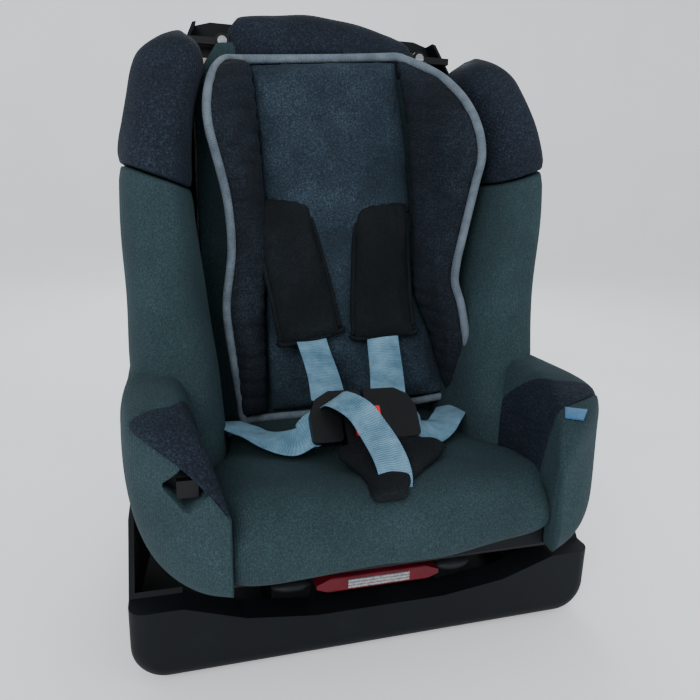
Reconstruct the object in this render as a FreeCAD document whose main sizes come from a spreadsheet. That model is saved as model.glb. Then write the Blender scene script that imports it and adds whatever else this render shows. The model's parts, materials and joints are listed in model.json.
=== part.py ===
import FreeCAD, Part
import math
import os
import re
import Sketcher

# Convertible child car seat on its reclining base, in millimetres.
# Origin: middle of the whole object, at the surface it stands on. +X is the right-hand side seen from in front,
# -Y is the way the child faces, +Z is up. The seat shell reclines on two arc rails about an axis along X.

Vector = FreeCAD.Vector
Rotation = FreeCAD.Rotation
Placement = FreeCAD.Placement

SIZES = {
    # base
    "base_front": -187, "base_rear": 248, "base_half_front": 223, "base_half_rear": 190,
    "base_taper_start": -90, "base_wall": 5, "base_floor": 4, "foot_height": 3, "cheek_top": 127,
    "ledge_top": 73, "dip_top": 45, "dip_half": 178, "crossbar_depth": 27, "rear_top": 58,
    # recline arc: everything that slides is concentric with it
    "arc_height": 715, "rail_radius": 640, "rail_lip": 4, "rail_channel": 12, "rail_width": 36,
    "rail_spacing": 81, "rail_start": -159.5, "rail_end": 140, "rail_slot": 14, "rack_radius": 655,
    "rack_thick": 4, "notch_pitch": 5,
    # seat shell
    "shell_wall": 4, "shell_half": 206, "shell_base": 100, "pan_front": -222, "lip_top": 135,
    "arm_front": -184, "arm_top": 232, "wing_front": -42, "wing_apex_y": 20, "wing_apex_z": 552,
    "back_top": 602, "back_bottom_y": 84, "back_top_y": 128, "slot_spacing": 48, "slot_height": 415,
    # covers and pads
    "cover_front": -240, "cover_half": 219, "arm_half": 225, "arm_inner": 150, "cover_arm_top": 247,
    "cushion_top": 174, "cushion_rear": 152, "wing_inner": 152, "cover_base": 99, "foam": 22,
    "insert_thick": 24, "webbing": 38, "webbing_thick": 2,
    # buckle and handle
    "buckle_wide": 46, "buckle_deep": 24, "buckle_long": 60, "buckle_y": -122, "buckle_z": 190,
    "buckle_lean": 40, "handle_y": -162, "handle_z": 67, "handle_length": 120, "handle_height": 15,
    "lever_pivot_y": 66, "lever_pivot_z": 87, "pin_y": 20,
    # lock-off clips for the car's shoulder belt, and the lap belt's hook in the left arm
    "clip_x": 114, "clip_y": 92, "clip_z": 574, "clip_pin": 3, "hook_x": 172, "hook_z": 200, "hook_half": 20,
}

doc = FreeCAD.newDocument("ConvertibleCarSeat")
sheet = doc.addObject("Spreadsheet::Sheet", "Sizes")
for row, (alias, number) in enumerate(SIZES.items(), start=1):
    sheet.set("A%d" % row, alias)
    sheet.set("B%d" % row, str(number))
    sheet.setAlias("B%d" % row, alias)
doc.recompute()

finished = []


def bound(expression):
    """The expression with each alias written as a cell of the sheet."""
    return re.sub(r"[a-z_]{2,}", lambda word: "Sizes." + word.group(), str(expression))


def value(expression):
    """The number that an expression in sheet aliases stands for."""
    return float(sheet.evalExpression(re.sub(r"[a-z_]{2,}", lambda word: "." + word.group(), str(expression))))


def done(shape_object, label):
    """Marks an object as a finished sub-part under its node name."""
    shape_object.Label = label
    finished.append(shape_object)
    return shape_object


def polygon(sketch, corners):
    """Closed outline through corners given as pairs of sheet expressions, each pinned by two dimensions."""
    places = [(value(across), value(up)) for across, up in corners]
    count = len(places)
    for index in range(count):
        start, end = places[index], places[(index + 1) % count]
        sketch.addGeometry(Part.LineSegment(Vector(*start, 0), Vector(*end, 0)))
    for index in range(count):
        sketch.addConstraint(Sketcher.Constraint("Coincident", index, 2, (index + 1) % count, 1))
    for index, corner in enumerate(corners):
        for kind, expression, number in zip(("DistanceX", "DistanceY"), corner, places[index]):
            made = sketch.addConstraint(Sketcher.Constraint(kind, -1, 1, index, 1, number))
            sketch.setExpression("Constraints[%d]" % made, bound(expression))


def origin_plane(body, role):
    return next(item for item in body.Origin.OriginFeatures if item.Role == role)


def new_sketch(body, role, corners, offset=0):
    """Sketch of a polygon on one of the body's own origin planes, moved along the plane's normal."""
    sketch = body.newObject("Sketcher::SketchObject", "Outline")
    sketch.AttachmentSupport = (origin_plane(body, role), [""])
    sketch.MapMode = "FlatFace"
    sketch.AttachmentOffset = Placement(Vector(0, 0, value(offset)), Rotation())
    polygon(sketch, corners)
    return sketch


def new_body(place=Vector(), turn=Rotation()):
    body = doc.addObject("PartDesign::Body", "Body")
    body.Placement = Placement(place, turn)
    return body


def pad(body, role, corners, length, offset=0, middle=False, backwards=False):
    feature = body.newObject("PartDesign::Pad", "Pad")
    feature.Profile = new_sketch(body, role, corners, offset)
    feature.setExpression("Length", bound(length))
    feature.Midplane = middle
    feature.Reversed = backwards
    doc.recompute()
    return feature


def pocket(body, role, corners, length, offset=0, middle=False, backwards=False):
    """Pocket that is checked to have taken material away."""
    before = body.Shape.Volume
    feature = body.newObject("PartDesign::Pocket", "Pocket")
    feature.Profile = new_sketch(body, role, corners, offset)
    feature.setExpression("Length", bound(length))
    feature.Midplane = middle
    feature.Reversed = backwards
    doc.recompute()
    if body.Shape.Volume >= before:
        raise ValueError("a pocket of %s cuts nothing" % body.Name)
    return feature


def ring_cut(body, low, high, half_width):
    """Groove of a rectangular section between two radii about the body's own X axis."""
    before = body.Shape.Volume
    feature = body.newObject("PartDesign::Groove", "Groove")
    outline = [("-(%s)" % half_width, "-(%s)" % high), (half_width, "-(%s)" % high),
               (half_width, "-(%s)" % low), ("-(%s)" % half_width, "-(%s)" % low)]
    feature.Profile = new_sketch(body, "XZ_Plane", outline)
    feature.ReferenceAxis = (origin_axis(body, "X_Axis"), [""])
    feature.Angle = 80
    feature.Midplane = True
    doc.recompute()
    if body.Shape.Volume >= before:
        raise ValueError("a groove of %s cuts nothing" % body.Name)
    return feature


def origin_axis(body, role):
    return next(item for item in body.Origin.OriginFeatures if item.Role == role)


def round_edges(body, radius, wanted):
    """Fillet of the tip's edges for which wanted(edge) is true."""
    tip = body.Tip
    names = ["Edge%d" % (index + 1) for index, edge in enumerate(tip.Shape.Edges) if wanted(edge)]
    feature = body.newObject("PartDesign::Fillet", "Round")
    feature.Base = (tip, names)
    feature.setExpression("Radius", bound(radius))
    doc.recompute()
    return feature


def runs_along(edge, axis):
    """True for a straight edge parallel to the axis given as x, y or z."""
    if not isinstance(edge.Curve, Part.Line):
        return False
    return abs(getattr(edge.Curve.Direction, axis)) > 0.999


def rectangle(half_across, low, high):
    return [("-(%s)" % half_across, low), (half_across, low), (half_across, high), ("-(%s)" % half_across, high)]


def box_corners(left, right, low, high):
    return [(left, low), (right, low), (right, high), (left, high)]


# Part workbench: outlines extruded across or along the seat, and their common volume

SIDE_TURN = Rotation(Vector(1, 1, 1), 120)
FRONT_TURN = Rotation(Vector(1, 0, 0), 90)


def slab(name, corners, turn, low, high):
    """Prism of an outline: a side view runs from low to high in X, a front view from low to high in -Y."""
    sketch = doc.addObject("Sketcher::SketchObject", name + "Outline")
    sketch.Placement = Placement(Vector(), turn)
    polygon(sketch, corners)
    prism = doc.addObject("Part::Extrusion", name)
    prism.Base = sketch
    prism.DirMode = "Normal"
    prism.Solid = True
    prism.setExpression("LengthFwd", bound(high))
    prism.setExpression("LengthRev", bound("-(%s)" % low))
    return prism


def common(name, first, second):
    both = doc.addObject("Part::Common", name)
    both.Base, both.Tool = first, second
    return both


def cut(name, base, tool):
    rest = doc.addObject("Part::Cut", name)
    rest.Base, rest.Tool = base, tool
    return rest


def fuse(name, parts):
    """The parts as one; a single part stays as it is."""
    if len(parts) == 1:
        return parts[0]
    whole = doc.addObject("Part::MultiFuse", name)
    whole.Shapes = parts
    return whole


def group(name, parts):
    """Separate solids of one node."""
    several = doc.addObject("Part::Compound", name)
    several.Links = parts
    return several


def block(name, low, high):
    """Box between two corners given as sheet expressions."""
    box = doc.addObject("Part::Box", name)
    for side, start, end in zip(("Length", "Width", "Height"), low, high):
        box.setExpression(side, bound("(%s) - (%s)" % (end, start)))
    for axis, start in zip("xyz", low):
        box.setExpression("Placement.Base." + axis, bound(start))
    return box


def rod(name, radius, length, place, turn=Rotation()):
    """Cylinder whose axis starts at place and runs along the turned Z axis."""
    bar = doc.addObject("Part::Cylinder", name)
    bar.setExpression("Radius", bound(radius))
    bar.setExpression("Height", bound(length))
    bar.Placement = Placement(place, turn)
    return bar


def on_arc(angle, radius):
    """Placement on the recline arc: angle in degrees from straight down, positive to the rear."""
    turn = Rotation(Vector(1, 0, 0), angle)
    return Placement(Vector(0, 0, value("arc_height")) + turn.multVec(Vector(0, 0, -radius)), turn)


ALONG_X = Rotation(Vector(0, 1, 0), 90)
ALONG_BACK = Rotation(Vector(1, 0, 0), -90)


# Base

def base_shell():
    """Moulded base: floor, tapering walls with raised cheeks, and a front crossbar that dips in the middle."""
    body = new_body(Vector(0, 0, value("foot_height")))
    plan = [("-base_half_front", "base_front"), ("base_half_front", "base_front"),
            ("base_half_front", "base_taper_start"), ("base_half_rear", "base_rear"),
            ("-base_half_rear", "base_rear"), ("-base_half_front", "base_taper_start")]
    pad(body, "XY_Plane", plan, "cheek_top - foot_height")
    lowest = value("base_half_rear") - 1
    round_edges(body, "32", lambda edge: edge.BoundBox.ZMax < 1 and abs(edge.CenterOfMass.x) > lowest
                and edge.BoundBox.YLength > 50)
    round_edges(body, "14", lambda edge: runs_along(edge, "z"))
    inside_front = "base_half_front - base_wall"
    inside_rear = "base_half_rear - base_wall"
    cavity_front = "base_front + crossbar_depth"
    cavity = [("-(%s)" % inside_front, cavity_front), (inside_front, cavity_front),
              (inside_front, "base_taper_start"), (inside_rear, "base_rear - base_wall"),
              ("-(%s)" % inside_rear, "base_rear - base_wall"), ("-(%s)" % inside_front, "base_taper_start")]
    pocket(body, "XY_Plane", cavity, "cheek_top", offset="base_floor + 22", backwards=True)
    floor_pan = [("-base_half_rear + 22", cavity_front), ("base_half_rear - 22", cavity_front),
                 ("base_half_rear - 22", "base_rear - base_wall"), ("-base_half_rear + 22", "base_rear - base_wall")]
    pocket(body, "XY_Plane", floor_pan, "cheek_top", offset="base_floor", backwards=True)
    lift = "- foot_height"
    above = [("base_front - 20", "ledge_top" + lift), ("base_front + 24", "ledge_top" + lift),
             ("base_front + 66", "cheek_top" + lift), ("base_front + 150", "cheek_top" + lift),
             ("base_front + 250", "ledge_top + 15" + lift), ("base_rear - 60", "rear_top" + lift),
             ("base_rear + 20", "rear_top" + lift), ("base_rear + 20", "cheek_top + 40"),
             ("base_front - 20", "cheek_top + 40")]
    pocket(body, "YZ_Plane", above, "4 * base_half_front", middle=True)
    dip = [("-dip_half", "ledge_top" + lift), ("-dip_half * 0.7", "dip_top + 10" + lift),
           ("-dip_half * 0.35", "dip_top + 2" + lift), ("dip_half * 0.35", "dip_top + 2" + lift),
           ("dip_half * 0.7", "dip_top + 10" + lift), ("dip_half", "ledge_top" + lift),
           ("dip_half", "cheek_top"), ("-dip_half", "cheek_top")]
    pocket(body, "XZ_Plane", dip, "60", offset="-base_front - crossbar_depth - 5", backwards=True)
    hollow = box_corners("-base_half_rear + 20", "base_half_rear - 20", "base_front + base_wall",
                         "base_front + crossbar_depth - base_wall")
    pocket(body, "XY_Plane", hollow, "dip_top - foot_height - 8", offset="0", backwards=True)
    return done(body, "base_shell")


def rail(side, label):
    """Rail with an arc top and a C-shaped channel that holds the seat's guide shoes."""
    body = new_body(Vector(side * value("rail_spacing"), 0, value("arc_height")))
    floor = "foot_height + base_floor - arc_height"
    pad(body, "YZ_Plane", box_corners("rail_start", "rail_end", floor, "-rail_radius + 40"),
        "rail_width", middle=True)
    ring_cut(body, "rail_radius - 90", "rail_radius", "rail_width")
    ring_cut(body, "rail_radius + rail_lip", "rail_radius + rail_lip + rail_channel", "rail_width / 2 - 4")
    ring_cut(body, "rail_radius - 5", "rail_radius + rail_lip + 1", "rail_slot / 2")
    pocket(body, "YZ_Plane", box_corners("rail_start + 14", "rail_end - 14", floor, floor + " + 26"),
           "rail_width - 8", middle=True)
    return done(body, label)


def rack_support():
    """Plinth on the floor of the base with the lock rack on its arc-shaped top."""
    body = new_body(Vector(0, 0, value("arc_height")))
    floor = "foot_height + base_floor - arc_height"
    pad(body, "YZ_Plane", box_corners("-112", "48", floor, "-rack_radius + 20"), "30", middle=True)
    ring_cut(body, "rack_radius - 60", "rack_radius + rack_thick", "40")
    pocket(body, "YZ_Plane", box_corners("-100", "36", floor, floor + " + 30"), "22", middle=True)
    for notch in range(3):
        depth_cut(body, notch)
    return done(body, "rack_support")


def depth_cut(body, notch):
    """Clearance under one hole of the rack for the lock pin's nose."""
    place = on_arc(notch_angle(notch), 0).Rotation.multVec(Vector(0, 0, -value("rack_radius")))
    middle = "%.3f" % place.y
    pocket(body, "XY_Plane", box_corners("-8", "8", middle + " - 8", middle + " + 8"), "16",
           offset="-rack_radius - rack_thick + 8")


def notch_angle(notch):
    """Angle of a hole of the rack: the lock pin stands over the first one at rest."""
    first = math.degrees(value("pin_y") / value("rack_radius"))
    return first - notch * value("notch_pitch")


def lock_rack():
    """Steel strip bent to the arc, with one hole for each recline position."""
    body = new_body(Vector(0, 0, value("arc_height")))
    strip = body.newObject("PartDesign::Revolution", "Strip")
    strip.Profile = new_sketch(body, "XZ_Plane", rectangle("14", "-rack_radius - rack_thick", "-rack_radius"))
    strip.ReferenceAxis = (origin_axis(body, "X_Axis"), [""])
    strip.Angle = 13
    doc.recompute()
    if strip.Shape.BoundBox.YMax > 60:
        strip.Reversed = True
    body.Placement = Placement(Vector(0, 0, value("arc_height")), Rotation(Vector(1, 0, 0), 3.6))
    doc.recompute()
    holes = []
    for notch in range(3):
        hole = rod("RackHole%d" % notch, "6", "30", Vector())
        hole.Placement = on_arc(notch_angle(notch), value("rack_radius") + 15)
        holes.append(hole)
    return done(cut("LockRack", body, fuse("RackHoles", holes)), "lock_rack")


def feet():
    """Four rubber pads that the base stands on."""
    pads = []
    for index, (across, along) in enumerate((("-150", "base_front + 48"), ("118", "base_front + 48"),
                                             ("-140", "base_rear - 60"), ("108", "base_rear - 60"))):
        low = (across, along, "0")
        high = (across + " + 32", along + " + 44", "foot_height")
        pads.append(block("Foot%d" % index, low, high))
    return done(group("Feet", pads), "rubber_feet")


def bumpers():
    """Oval grey stop pads on the noses of the two rails."""
    pads = []
    for side in (-1, 1):
        oval = doc.addObject("Part::Ellipsoid", "Bumper")
        oval.Radius1, oval.Radius2, oval.Radius3 = 6, 19, 9
        oval.Placement = Placement(Vector(side * value("rail_spacing"), value("rail_start"), 63), Rotation())
        nose = block("BumperNose", ("rail_spacing * %d - 22" % side, "rail_start - 12", "40"),
                     ("rail_spacing * %d + 22" % side, "rail_start", "90"))
        pads.append(common("StopPad", oval, nose))
    return done(group("Bumpers", pads), "stop_bumpers")


def rail_screws():
    """Screws that hold the rails and the rack support down on the floor of the base."""
    screws = []
    for side in (-1, 0, 1):
        for along in (-60, 20) if side == 0 else (-120, 95):
            place = Vector(side * value("rail_spacing"), along, value("foot_height") - 0.5)
            screws.append(rod("Screw", "4", "base_floor", place))
    return done(group("RailScrews", screws), "rail_screws")


# Seat shell

SHELL_SIDE = [("pan_front + 16", "shell_base"), ("pan_front", "shell_base + 13"), ("pan_front", "lip_top"),
              ("arm_front", "lip_top + 20"),
              ("arm_front", "arm_top"), ("wing_front - 8", "arm_top"), ("wing_front + 2", "arm_top + 32"),
              ("wing_front - 8", "arm_top + 180"), ("wing_front + 22", "wing_apex_z - 62"),
              ("wing_apex_y", "wing_apex_z"), ("wing_apex_y + 70", "wing_apex_z + 6"),
              ("back_top_y - 18", "back_top"), ("back_top_y + 10", "back_top"),
              ("back_bottom_y + 16", "shell_base + 22"), ("back_bottom_y", "shell_base")]
SHELL_INSIDE = [("pan_front + shell_wall", "shell_base + 15.5"), ("pan_front + 18", "shell_base + shell_wall"),
                ("back_bottom_y - 4", "shell_base + shell_wall"),
                ("back_bottom_y + 16 - shell_wall", "shell_base + 24"), ("back_top_y + 6.1", "back_top + 60"),
                ("pan_front + shell_wall", "back_top + 60")]


def half_front(half, base, inset):
    """Right-hand corners of the seat seen from in front, from the bottom up."""
    return [("%s - 56 - %s" % (half, inset), base), ("%s - 21 - %s" % (half, inset), base + " + 18"),
            ("%s - 2 - %s" % (half, inset), base + " + 60"), ("%s - %s" % (half, inset), base + " + 300"),
            ("%s - 10 - %s" % (half, inset), base + " + 378"), ("%s - 44 - %s" % (half, inset), base + " + 452")]


def whole_front(right):
    """Closed front view from its right-hand corners."""
    left = [("-(%s)" % across, up) for across, up in reversed(right)]
    return right + left


def seat_shell():
    """Bucket shell: the common volume of a side view and a front view, less the same pair set in by the wall."""
    top = [("shell_half - 62", "back_top - 6"), ("shell_half - 110", "back_top + 8")]
    open_top = [("shell_half - 66", "back_top - 6"), ("shell_half - 70", "back_top + 80")]
    outside = common("ShellOutside",
                     slab("ShellSide", SHELL_SIDE, SIDE_TURN, "-shell_half - 20", "shell_half + 20"),
                     slab("ShellFront", whole_front(half_front("shell_half", "shell_base", "0") + top),
                          FRONT_TURN, "-260", "260"))
    inside = common("ShellInside",
                    slab("ShellHollowSide", SHELL_INSIDE, SIDE_TURN, "-shell_half - 20", "shell_half + 20"),
                    slab("ShellHollowFront", whole_front(half_front("shell_half", "shell_base + shell_wall",
                                                                    "shell_wall") + open_top),
                         FRONT_TURN, "-260", "300"))
    bucket = cut("ShellBucket", common("ShellRounded", outside, shell_plan("ShellPlan", "0")),
                 common("ShellHollow", inside, shell_plan("ShellHollowPlan", "shell_wall")))
    openings = fuse("ShellOpenings", strap_slots() + belt_windows())
    return done(cut("SeatShell", bucket, openings), "seat_shell")


def shell_plan(name, inset):
    """Plan outline of the shell, whose two front corners are rounded off; set in all round by inset."""
    corner = [("shell_half - " + inset, "-128"), ("197 - " + inset, "-166"), ("183 - " + inset, "-191"),
              ("163 - " + inset, "-209 + " + inset), ("138 - " + inset, "pan_front + " + inset)]
    half = [("shell_half - " + inset, "300")] + corner
    whole = half + [("-(%s)" % across, along) for across, along in reversed(half)]
    return slab(name, whole, Rotation(), "0", "700")


def strap_slots():
    """Slots for the shoulder straps at three heights, and for the crotch strap and the adjuster in the pan."""
    slots = []
    for side in (-1, 1):
        for level in (-65, 0, 65):
            centre = "%d * slot_spacing" % side
            slots.append(block("StrapSlot", (centre + " - 24", "60", "slot_height - 6 + %d" % level),
                               (centre + " + 24", "170", "slot_height + 6 + %d" % level)))
    for along in ("-152", "-100"):
        slots.append(block("PanSlot", ("-24", along, "90"), ("24", along + " + 10", "120")))
    slots.append(block("HarnessOutlet", ("-24", "back_bottom_y - 46", "90"), ("24", "back_bottom_y - 34", "120")))
    slots.append(block("AdjusterSlot", ("-24", "-206", "90"), ("24", "-192", "120")))
    return slots


def belt_windows():
    """Windows beside the back for the car's lap belt."""
    windows = []
    for side in (-1, 1):
        middle = "%d * (shell_half - 2)" % side
        windows.append(block("BeltWindow", (middle + " - 14", "52", "168"), (middle + " + 14", "84", "262")))
    return windows


def back_ribs():
    """Upright and level stiffening ribs on the rear of the shell, one part moulded on in black."""
    parts = []
    for across in (-150, -98, 94, 146):
        side = [("back_bottom_y + 12", "shell_base + 40"), ("back_bottom_y + 32", "shell_base + 40"),
                ("back_top_y + 24", "back_top - 60"), ("back_top_y + 8", "back_top - 20")]
        rib = slab("RibSide", side, SIDE_TURN, str(across), str(across + 4))
        parts.append(rib)
    for level in ("slot_height - 100", "slot_height + 100"):
        parts.append(block("LevelRib", ("-shell_half + 62", "back_bottom_y + 14", level),
                           ("shell_half - 62", "back_top_y + 26", level + " + 4")))
    zone = slab("RibZone", [("back_bottom_y + 16.9", "shell_base + 30"), ("back_bottom_y + 32", "shell_base + 30"),
                            ("back_top_y + 22", "back_top - 46"), ("back_top_y + 6.6", "back_top - 46")],
                SIDE_TURN, "-shell_half", "shell_half")
    return done(common("BackRibs", fuse("Ribs", parts), zone), "back_ribs")


def guide_shoes():
    """Four shoes under the pan that run in the channels of the rails: a foot on a stem that a bolt holds."""
    middle = value("rail_radius + rail_lip + rail_channel / 2")
    shoes = []
    for side in (-1, 1):
        for angle in (-2.5, 6.5):
            place = on_arc(angle, middle)
            place.Base.x = side * value("rail_spacing")
            foot = doc.addObject("Part::Box", "ShoeFoot")
            foot.Length, foot.Width, foot.Height = 24, 36, 8
            foot.Placement = place.multiply(Placement(Vector(-12, -18, -4), Rotation()))
            stem = doc.addObject("Part::Box", "ShoeStem")
            stem.Length, stem.Width, stem.Height = 10, 18, middle
            stem.Placement = place.multiply(Placement(Vector(-5, -9, 0), Rotation()))
            below = block("BelowPan", ("-shell_half", "-200", "0"), ("shell_half", "200", "shell_base"))
            shoes.append(common("Shoe", fuse("ShoeBlank", [foot, stem]), below))
    return done(group("Shoes", shoes), "guide_shoes")


def shoe_bolts():
    """Bolts with washers that hold the guide shoes up against the pan."""
    bolts = []
    for side in (-1, 1):
        for angle in (-2.5, 6.5):
            place = on_arc(angle, value("rail_radius"))
            head = Vector(side * value("rail_spacing"), place.Base.y, value("shell_base + shell_wall"))
            bolts.append(rod("BoltHead", "6", "4", head))
    return done(group("ShoeBolts", bolts), "shoe_bolts")


# Recline lever, pivoted under the rear of the pan

def lever_bracket():
    """Steel clevis under the pan for the lever's pivot pin."""
    sides = []
    for cheek, flange in ((-24, -38), (21, 24)):
        sides.append(block("Cheek", (str(cheek), "lever_pivot_y - 14", "lever_pivot_z - 7"),
                           (str(cheek + 3), "lever_pivot_y + 12", "shell_base")))
        sides.append(block("Flange", (str(flange), "lever_pivot_y - 14", "shell_base - 3"),
                           (str(flange + 14), "lever_pivot_y + 12", "shell_base")))
    hole = rod("BracketHole", "3", "60", Vector(-30, value("lever_pivot_y"), value("lever_pivot_z")), ALONG_X)
    return done(cut("Bracket", fuse("BracketBlank", sides), hole), "lever_bracket")


def lever_pin():
    place = Vector(-25, value("lever_pivot_y"), value("lever_pivot_z"))
    return done(rod("LeverPin", "3", "50", place, ALONG_X), "lever_pin")


def lever_arm():
    """Steel arm from the pivot boss to the red grip, cranked downward to pass over the crossbar."""
    side = [("handle_y + 6", "handle_z - 2"), ("-128", "handle_z - 2"), ("-108", "73"), ("-40", "79"),
            ("lever_pivot_y", "83"), ("lever_pivot_y", "90"), ("-40", "85"), ("-106", "80"),
            ("-132", "handle_z + 4"), ("handle_y + 6", "handle_z + 4")]
    blank = slab("ArmSide", side, SIDE_TURN, "-11", "11")
    boss = rod("ArmBoss", "6.5", "30", Vector(-15, value("lever_pivot_y"), value("lever_pivot_z")), ALONG_X)
    hole = rod("ArmHole", "3.05", "60", Vector(-30, value("lever_pivot_y"), value("lever_pivot_z")), ALONG_X)
    pin_hole = rod("PinSeat", "5", "40", Vector(0, value("pin_y"), 60))
    arm = fuse("ArmBlank", [blank, boss])
    return done(cut("LeverArm", arm, fuse("ArmHoles", [hole, pin_hole])), "lever_arm")


def lock_pin():
    """Pin through the arm that drops into a hole of the rack. It is drawn lifted just clear."""
    bottom = value("arc_height") - (value("rack_radius") ** 2 - value("pin_y") ** 2) ** 0.5 + 0.6
    return done(rod("LockPin", "5", "90 - %.2f" % bottom, Vector(0, value("pin_y"), bottom)), "lock_pin")


def recline_handle():
    """Red pull bar with tapered ends."""
    body = new_body(Vector(0, 0, 0))
    outline = [("-handle_length / 2", "handle_z - 2"), ("-handle_length / 2 + 14", "handle_z - handle_height / 2"),
               ("handle_length / 2 - 14", "handle_z - handle_height / 2"), ("handle_length / 2", "handle_z - 2"),
               ("handle_length / 2", "handle_z + 2"), ("handle_length / 2 - 14", "handle_z + handle_height / 2"),
               ("-handle_length / 2 + 14", "handle_z + handle_height / 2"), ("-handle_length / 2", "handle_z + 2")]
    pad(body, "XZ_Plane", outline, "18", offset="-handle_y - 4")
    round_edges(body, "2.5", lambda edge: runs_along(edge, "x"))
    socket = block("GripSocket", ("-11", "handle_y + 6", "handle_z - 2"), ("11", "handle_y + 20", "handle_z + 4"))
    return done(cut("Grip", body, socket), "recline_handle")


def handle_label():
    low = ("-handle_length / 4", "handle_y - 14.6", "handle_z - 4.5")
    high = ("handle_length / 4", "handle_y - 14", "handle_z + 4.5")
    return done(block("HandleLabel", low, high), "handle_label")


def lever_spring():
    """Close-wound torsion coil round the lever's pin, drawn as the sleeve that its turns fill."""
    start = Vector(15.8, value("lever_pivot_y"), value("lever_pivot_z"))
    outside = rod("SpringOutside", "4.9", "4.2", start, ALONG_X)
    inside = rod("SpringInside", "3.7", "6", start - Vector(1, 0, 0), ALONG_X)
    return done(cut("LeverSpring", outside, inside), "lever_spring")


# Soft parts as plain solids: each is a side view and a front view in common, less the shell

def soft_block(name, label, side, front, low="-260", high="260", less=()):
    view = common(name + "Blank", slab(name + "Side", side, SIDE_TURN, "-240", "240"),
                  slab(name + "Front", front, FRONT_TURN, low, high))
    tools = [doc.getObject("SeatShell")] + list(less)
    return done(cut(name, view, fuse(name + "Room", tools)), label)


def pan_foam():
    floor, top = "shell_base + shell_wall", "shell_base + shell_wall + foam"
    side = [("pan_front + 18", floor), ("back_bottom_y - 4", floor), ("back_bottom_y - 4", top),
            ("pan_front + shell_wall", top), ("pan_front + shell_wall", "shell_base + 15.5")]
    return soft_block("PanFoam", "pan_foam", side,
                      rectangle("arm_inner - 4", "shell_base", "shell_base + 40"),
                      less=strap_room() + [doc.getObject("ShoeBolts")])


def strap_room():
    """Room in the pads for the crotch strap and for the strap adjuster."""
    return [block("CrotchRoom", ("-22", "-150", "shell_base"), ("22", "-144", "cushion_top + 20")),
            block("BuckleRoom", ("-25", "-152", "156"), ("25", "-108", "cushion_top + 20")),
            block("AdjusterRoom", ("-26", "-234", "shell_base"), ("26", "-190", "cushion_top + 20"))]


def cushion_cover():
    """Seat cushion with its cover, wrapped over the front lip of the pan."""
    top = "shell_base + shell_wall + foam"
    side = [("cover_front", "cover_base + 16"), ("cover_front - 8", "cover_base + 34"),
            ("cover_front - 2", "cushion_top - 22"), ("cover_front + 24", "cushion_top - 2"),
            ("cover_front + 90", "cushion_top"), ("0", "cushion_rear + 8"), ("52", "cushion_rear"),
            ("66", "cushion_rear"), ("66", top), ("pan_front + shell_wall", top),
            ("pan_front + shell_wall", "lip_top"), ("pan_front", "lip_top"), ("pan_front", "cover_base + 16")]
    return soft_block("Cushion", "cushion_cover", side,
                      rectangle("arm_inner - 2", "cover_base", "cushion_top + 10"), less=strap_room())


def back_foam():
    side = [("back_bottom_y - 18", "cushion_rear + 1"), ("back_bottom_y + 13", "cushion_rear + 1"),
            ("back_top_y - 2", "back_top - 44"), ("back_top_y - 32", "back_top - 44")]
    return soft_block("BackFoam", "back_foam", side, rectangle("arm_inner - 4", "shell_base", "back_top"),
                      less=shoulder_room())


def shoulder_room():
    """Room in the back pads for the shoulder straps."""
    return [block("ShoulderRoom", ("%d * slot_spacing - 22" % side, "20", "slot_height - 5"),
                  ("%d * slot_spacing + 22" % side, "170", "slot_height + 5")) for side in (-1, 1)]


def back_cover():
    side = [("back_bottom_y - 34", "cushion_rear + 1"), ("back_bottom_y - 18.3", "cushion_rear + 1"),
            ("back_top_y - 32.3", "back_top - 44"), ("back_top_y - 46", "back_top - 44")]
    return soft_block("BackCover", "back_cover", side, rectangle("arm_inner", "shell_base", "back_top"),
                      less=shoulder_room())


def head_panel():
    """Padded cover over the top edge of the back."""
    side = [("back_top_y - 46", "back_top - 43.5"), ("back_top_y - 34", "back_top - 12"),
            ("back_top_y - 18", "back_top + 12"), ("back_top_y", "back_top + 20"),
            ("back_top_y + 20", "back_top + 12"), ("back_top_y + 26", "back_top - 20"),
            ("back_top_y + 20", "back_top - 43.5")]
    front = [("clip_x - 10", "back_top - 46"), ("clip_x - 10", "back_top - 4"), ("clip_x - 26", "back_top + 10"),
             ("40", "back_top + 20"), ("-40", "back_top + 20"), ("26 - clip_x", "back_top + 10"),
             ("10 - clip_x", "back_top - 4"), ("10 - clip_x", "back_top - 46")]
    return soft_block("HeadPanel", "head_panel", side, front)


def wing_cover(side, label):
    """Thick padded side bolster beside the head, wrapped over the shell's wing."""
    view = [("wing_front - 18", "cover_arm_top + 1"), ("wing_front - 24", "cover_arm_top + 150"),
            ("wing_front - 20", "cover_arm_top + 190"), ("wing_front + 10", "cover_arm_top + 262"),
            ("wing_apex_y - 8", "wing_apex_z + 16"), ("wing_apex_y + 72", "wing_apex_z - 14"),
            ("back_top_y - 50", "cover_arm_top + 220"), ("64", "cover_arm_top + 1")]
    right = [("wing_inner", "cover_arm_top + 1"), ("cover_half - 2", "cover_arm_top + 1"),
             ("cover_half", "cover_arm_top + 160"), ("cover_half - 9", "cover_arm_top + 236"),
             ("cover_half - 44", "wing_apex_z + 14"), ("wing_inner", "wing_apex_z + 16")]
    front = right if side > 0 else [("-(%s)" % across, up) for across, up in reversed(right)]
    return soft_block("Wing" + label.title().replace("_", ""), label, view, front)


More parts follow.
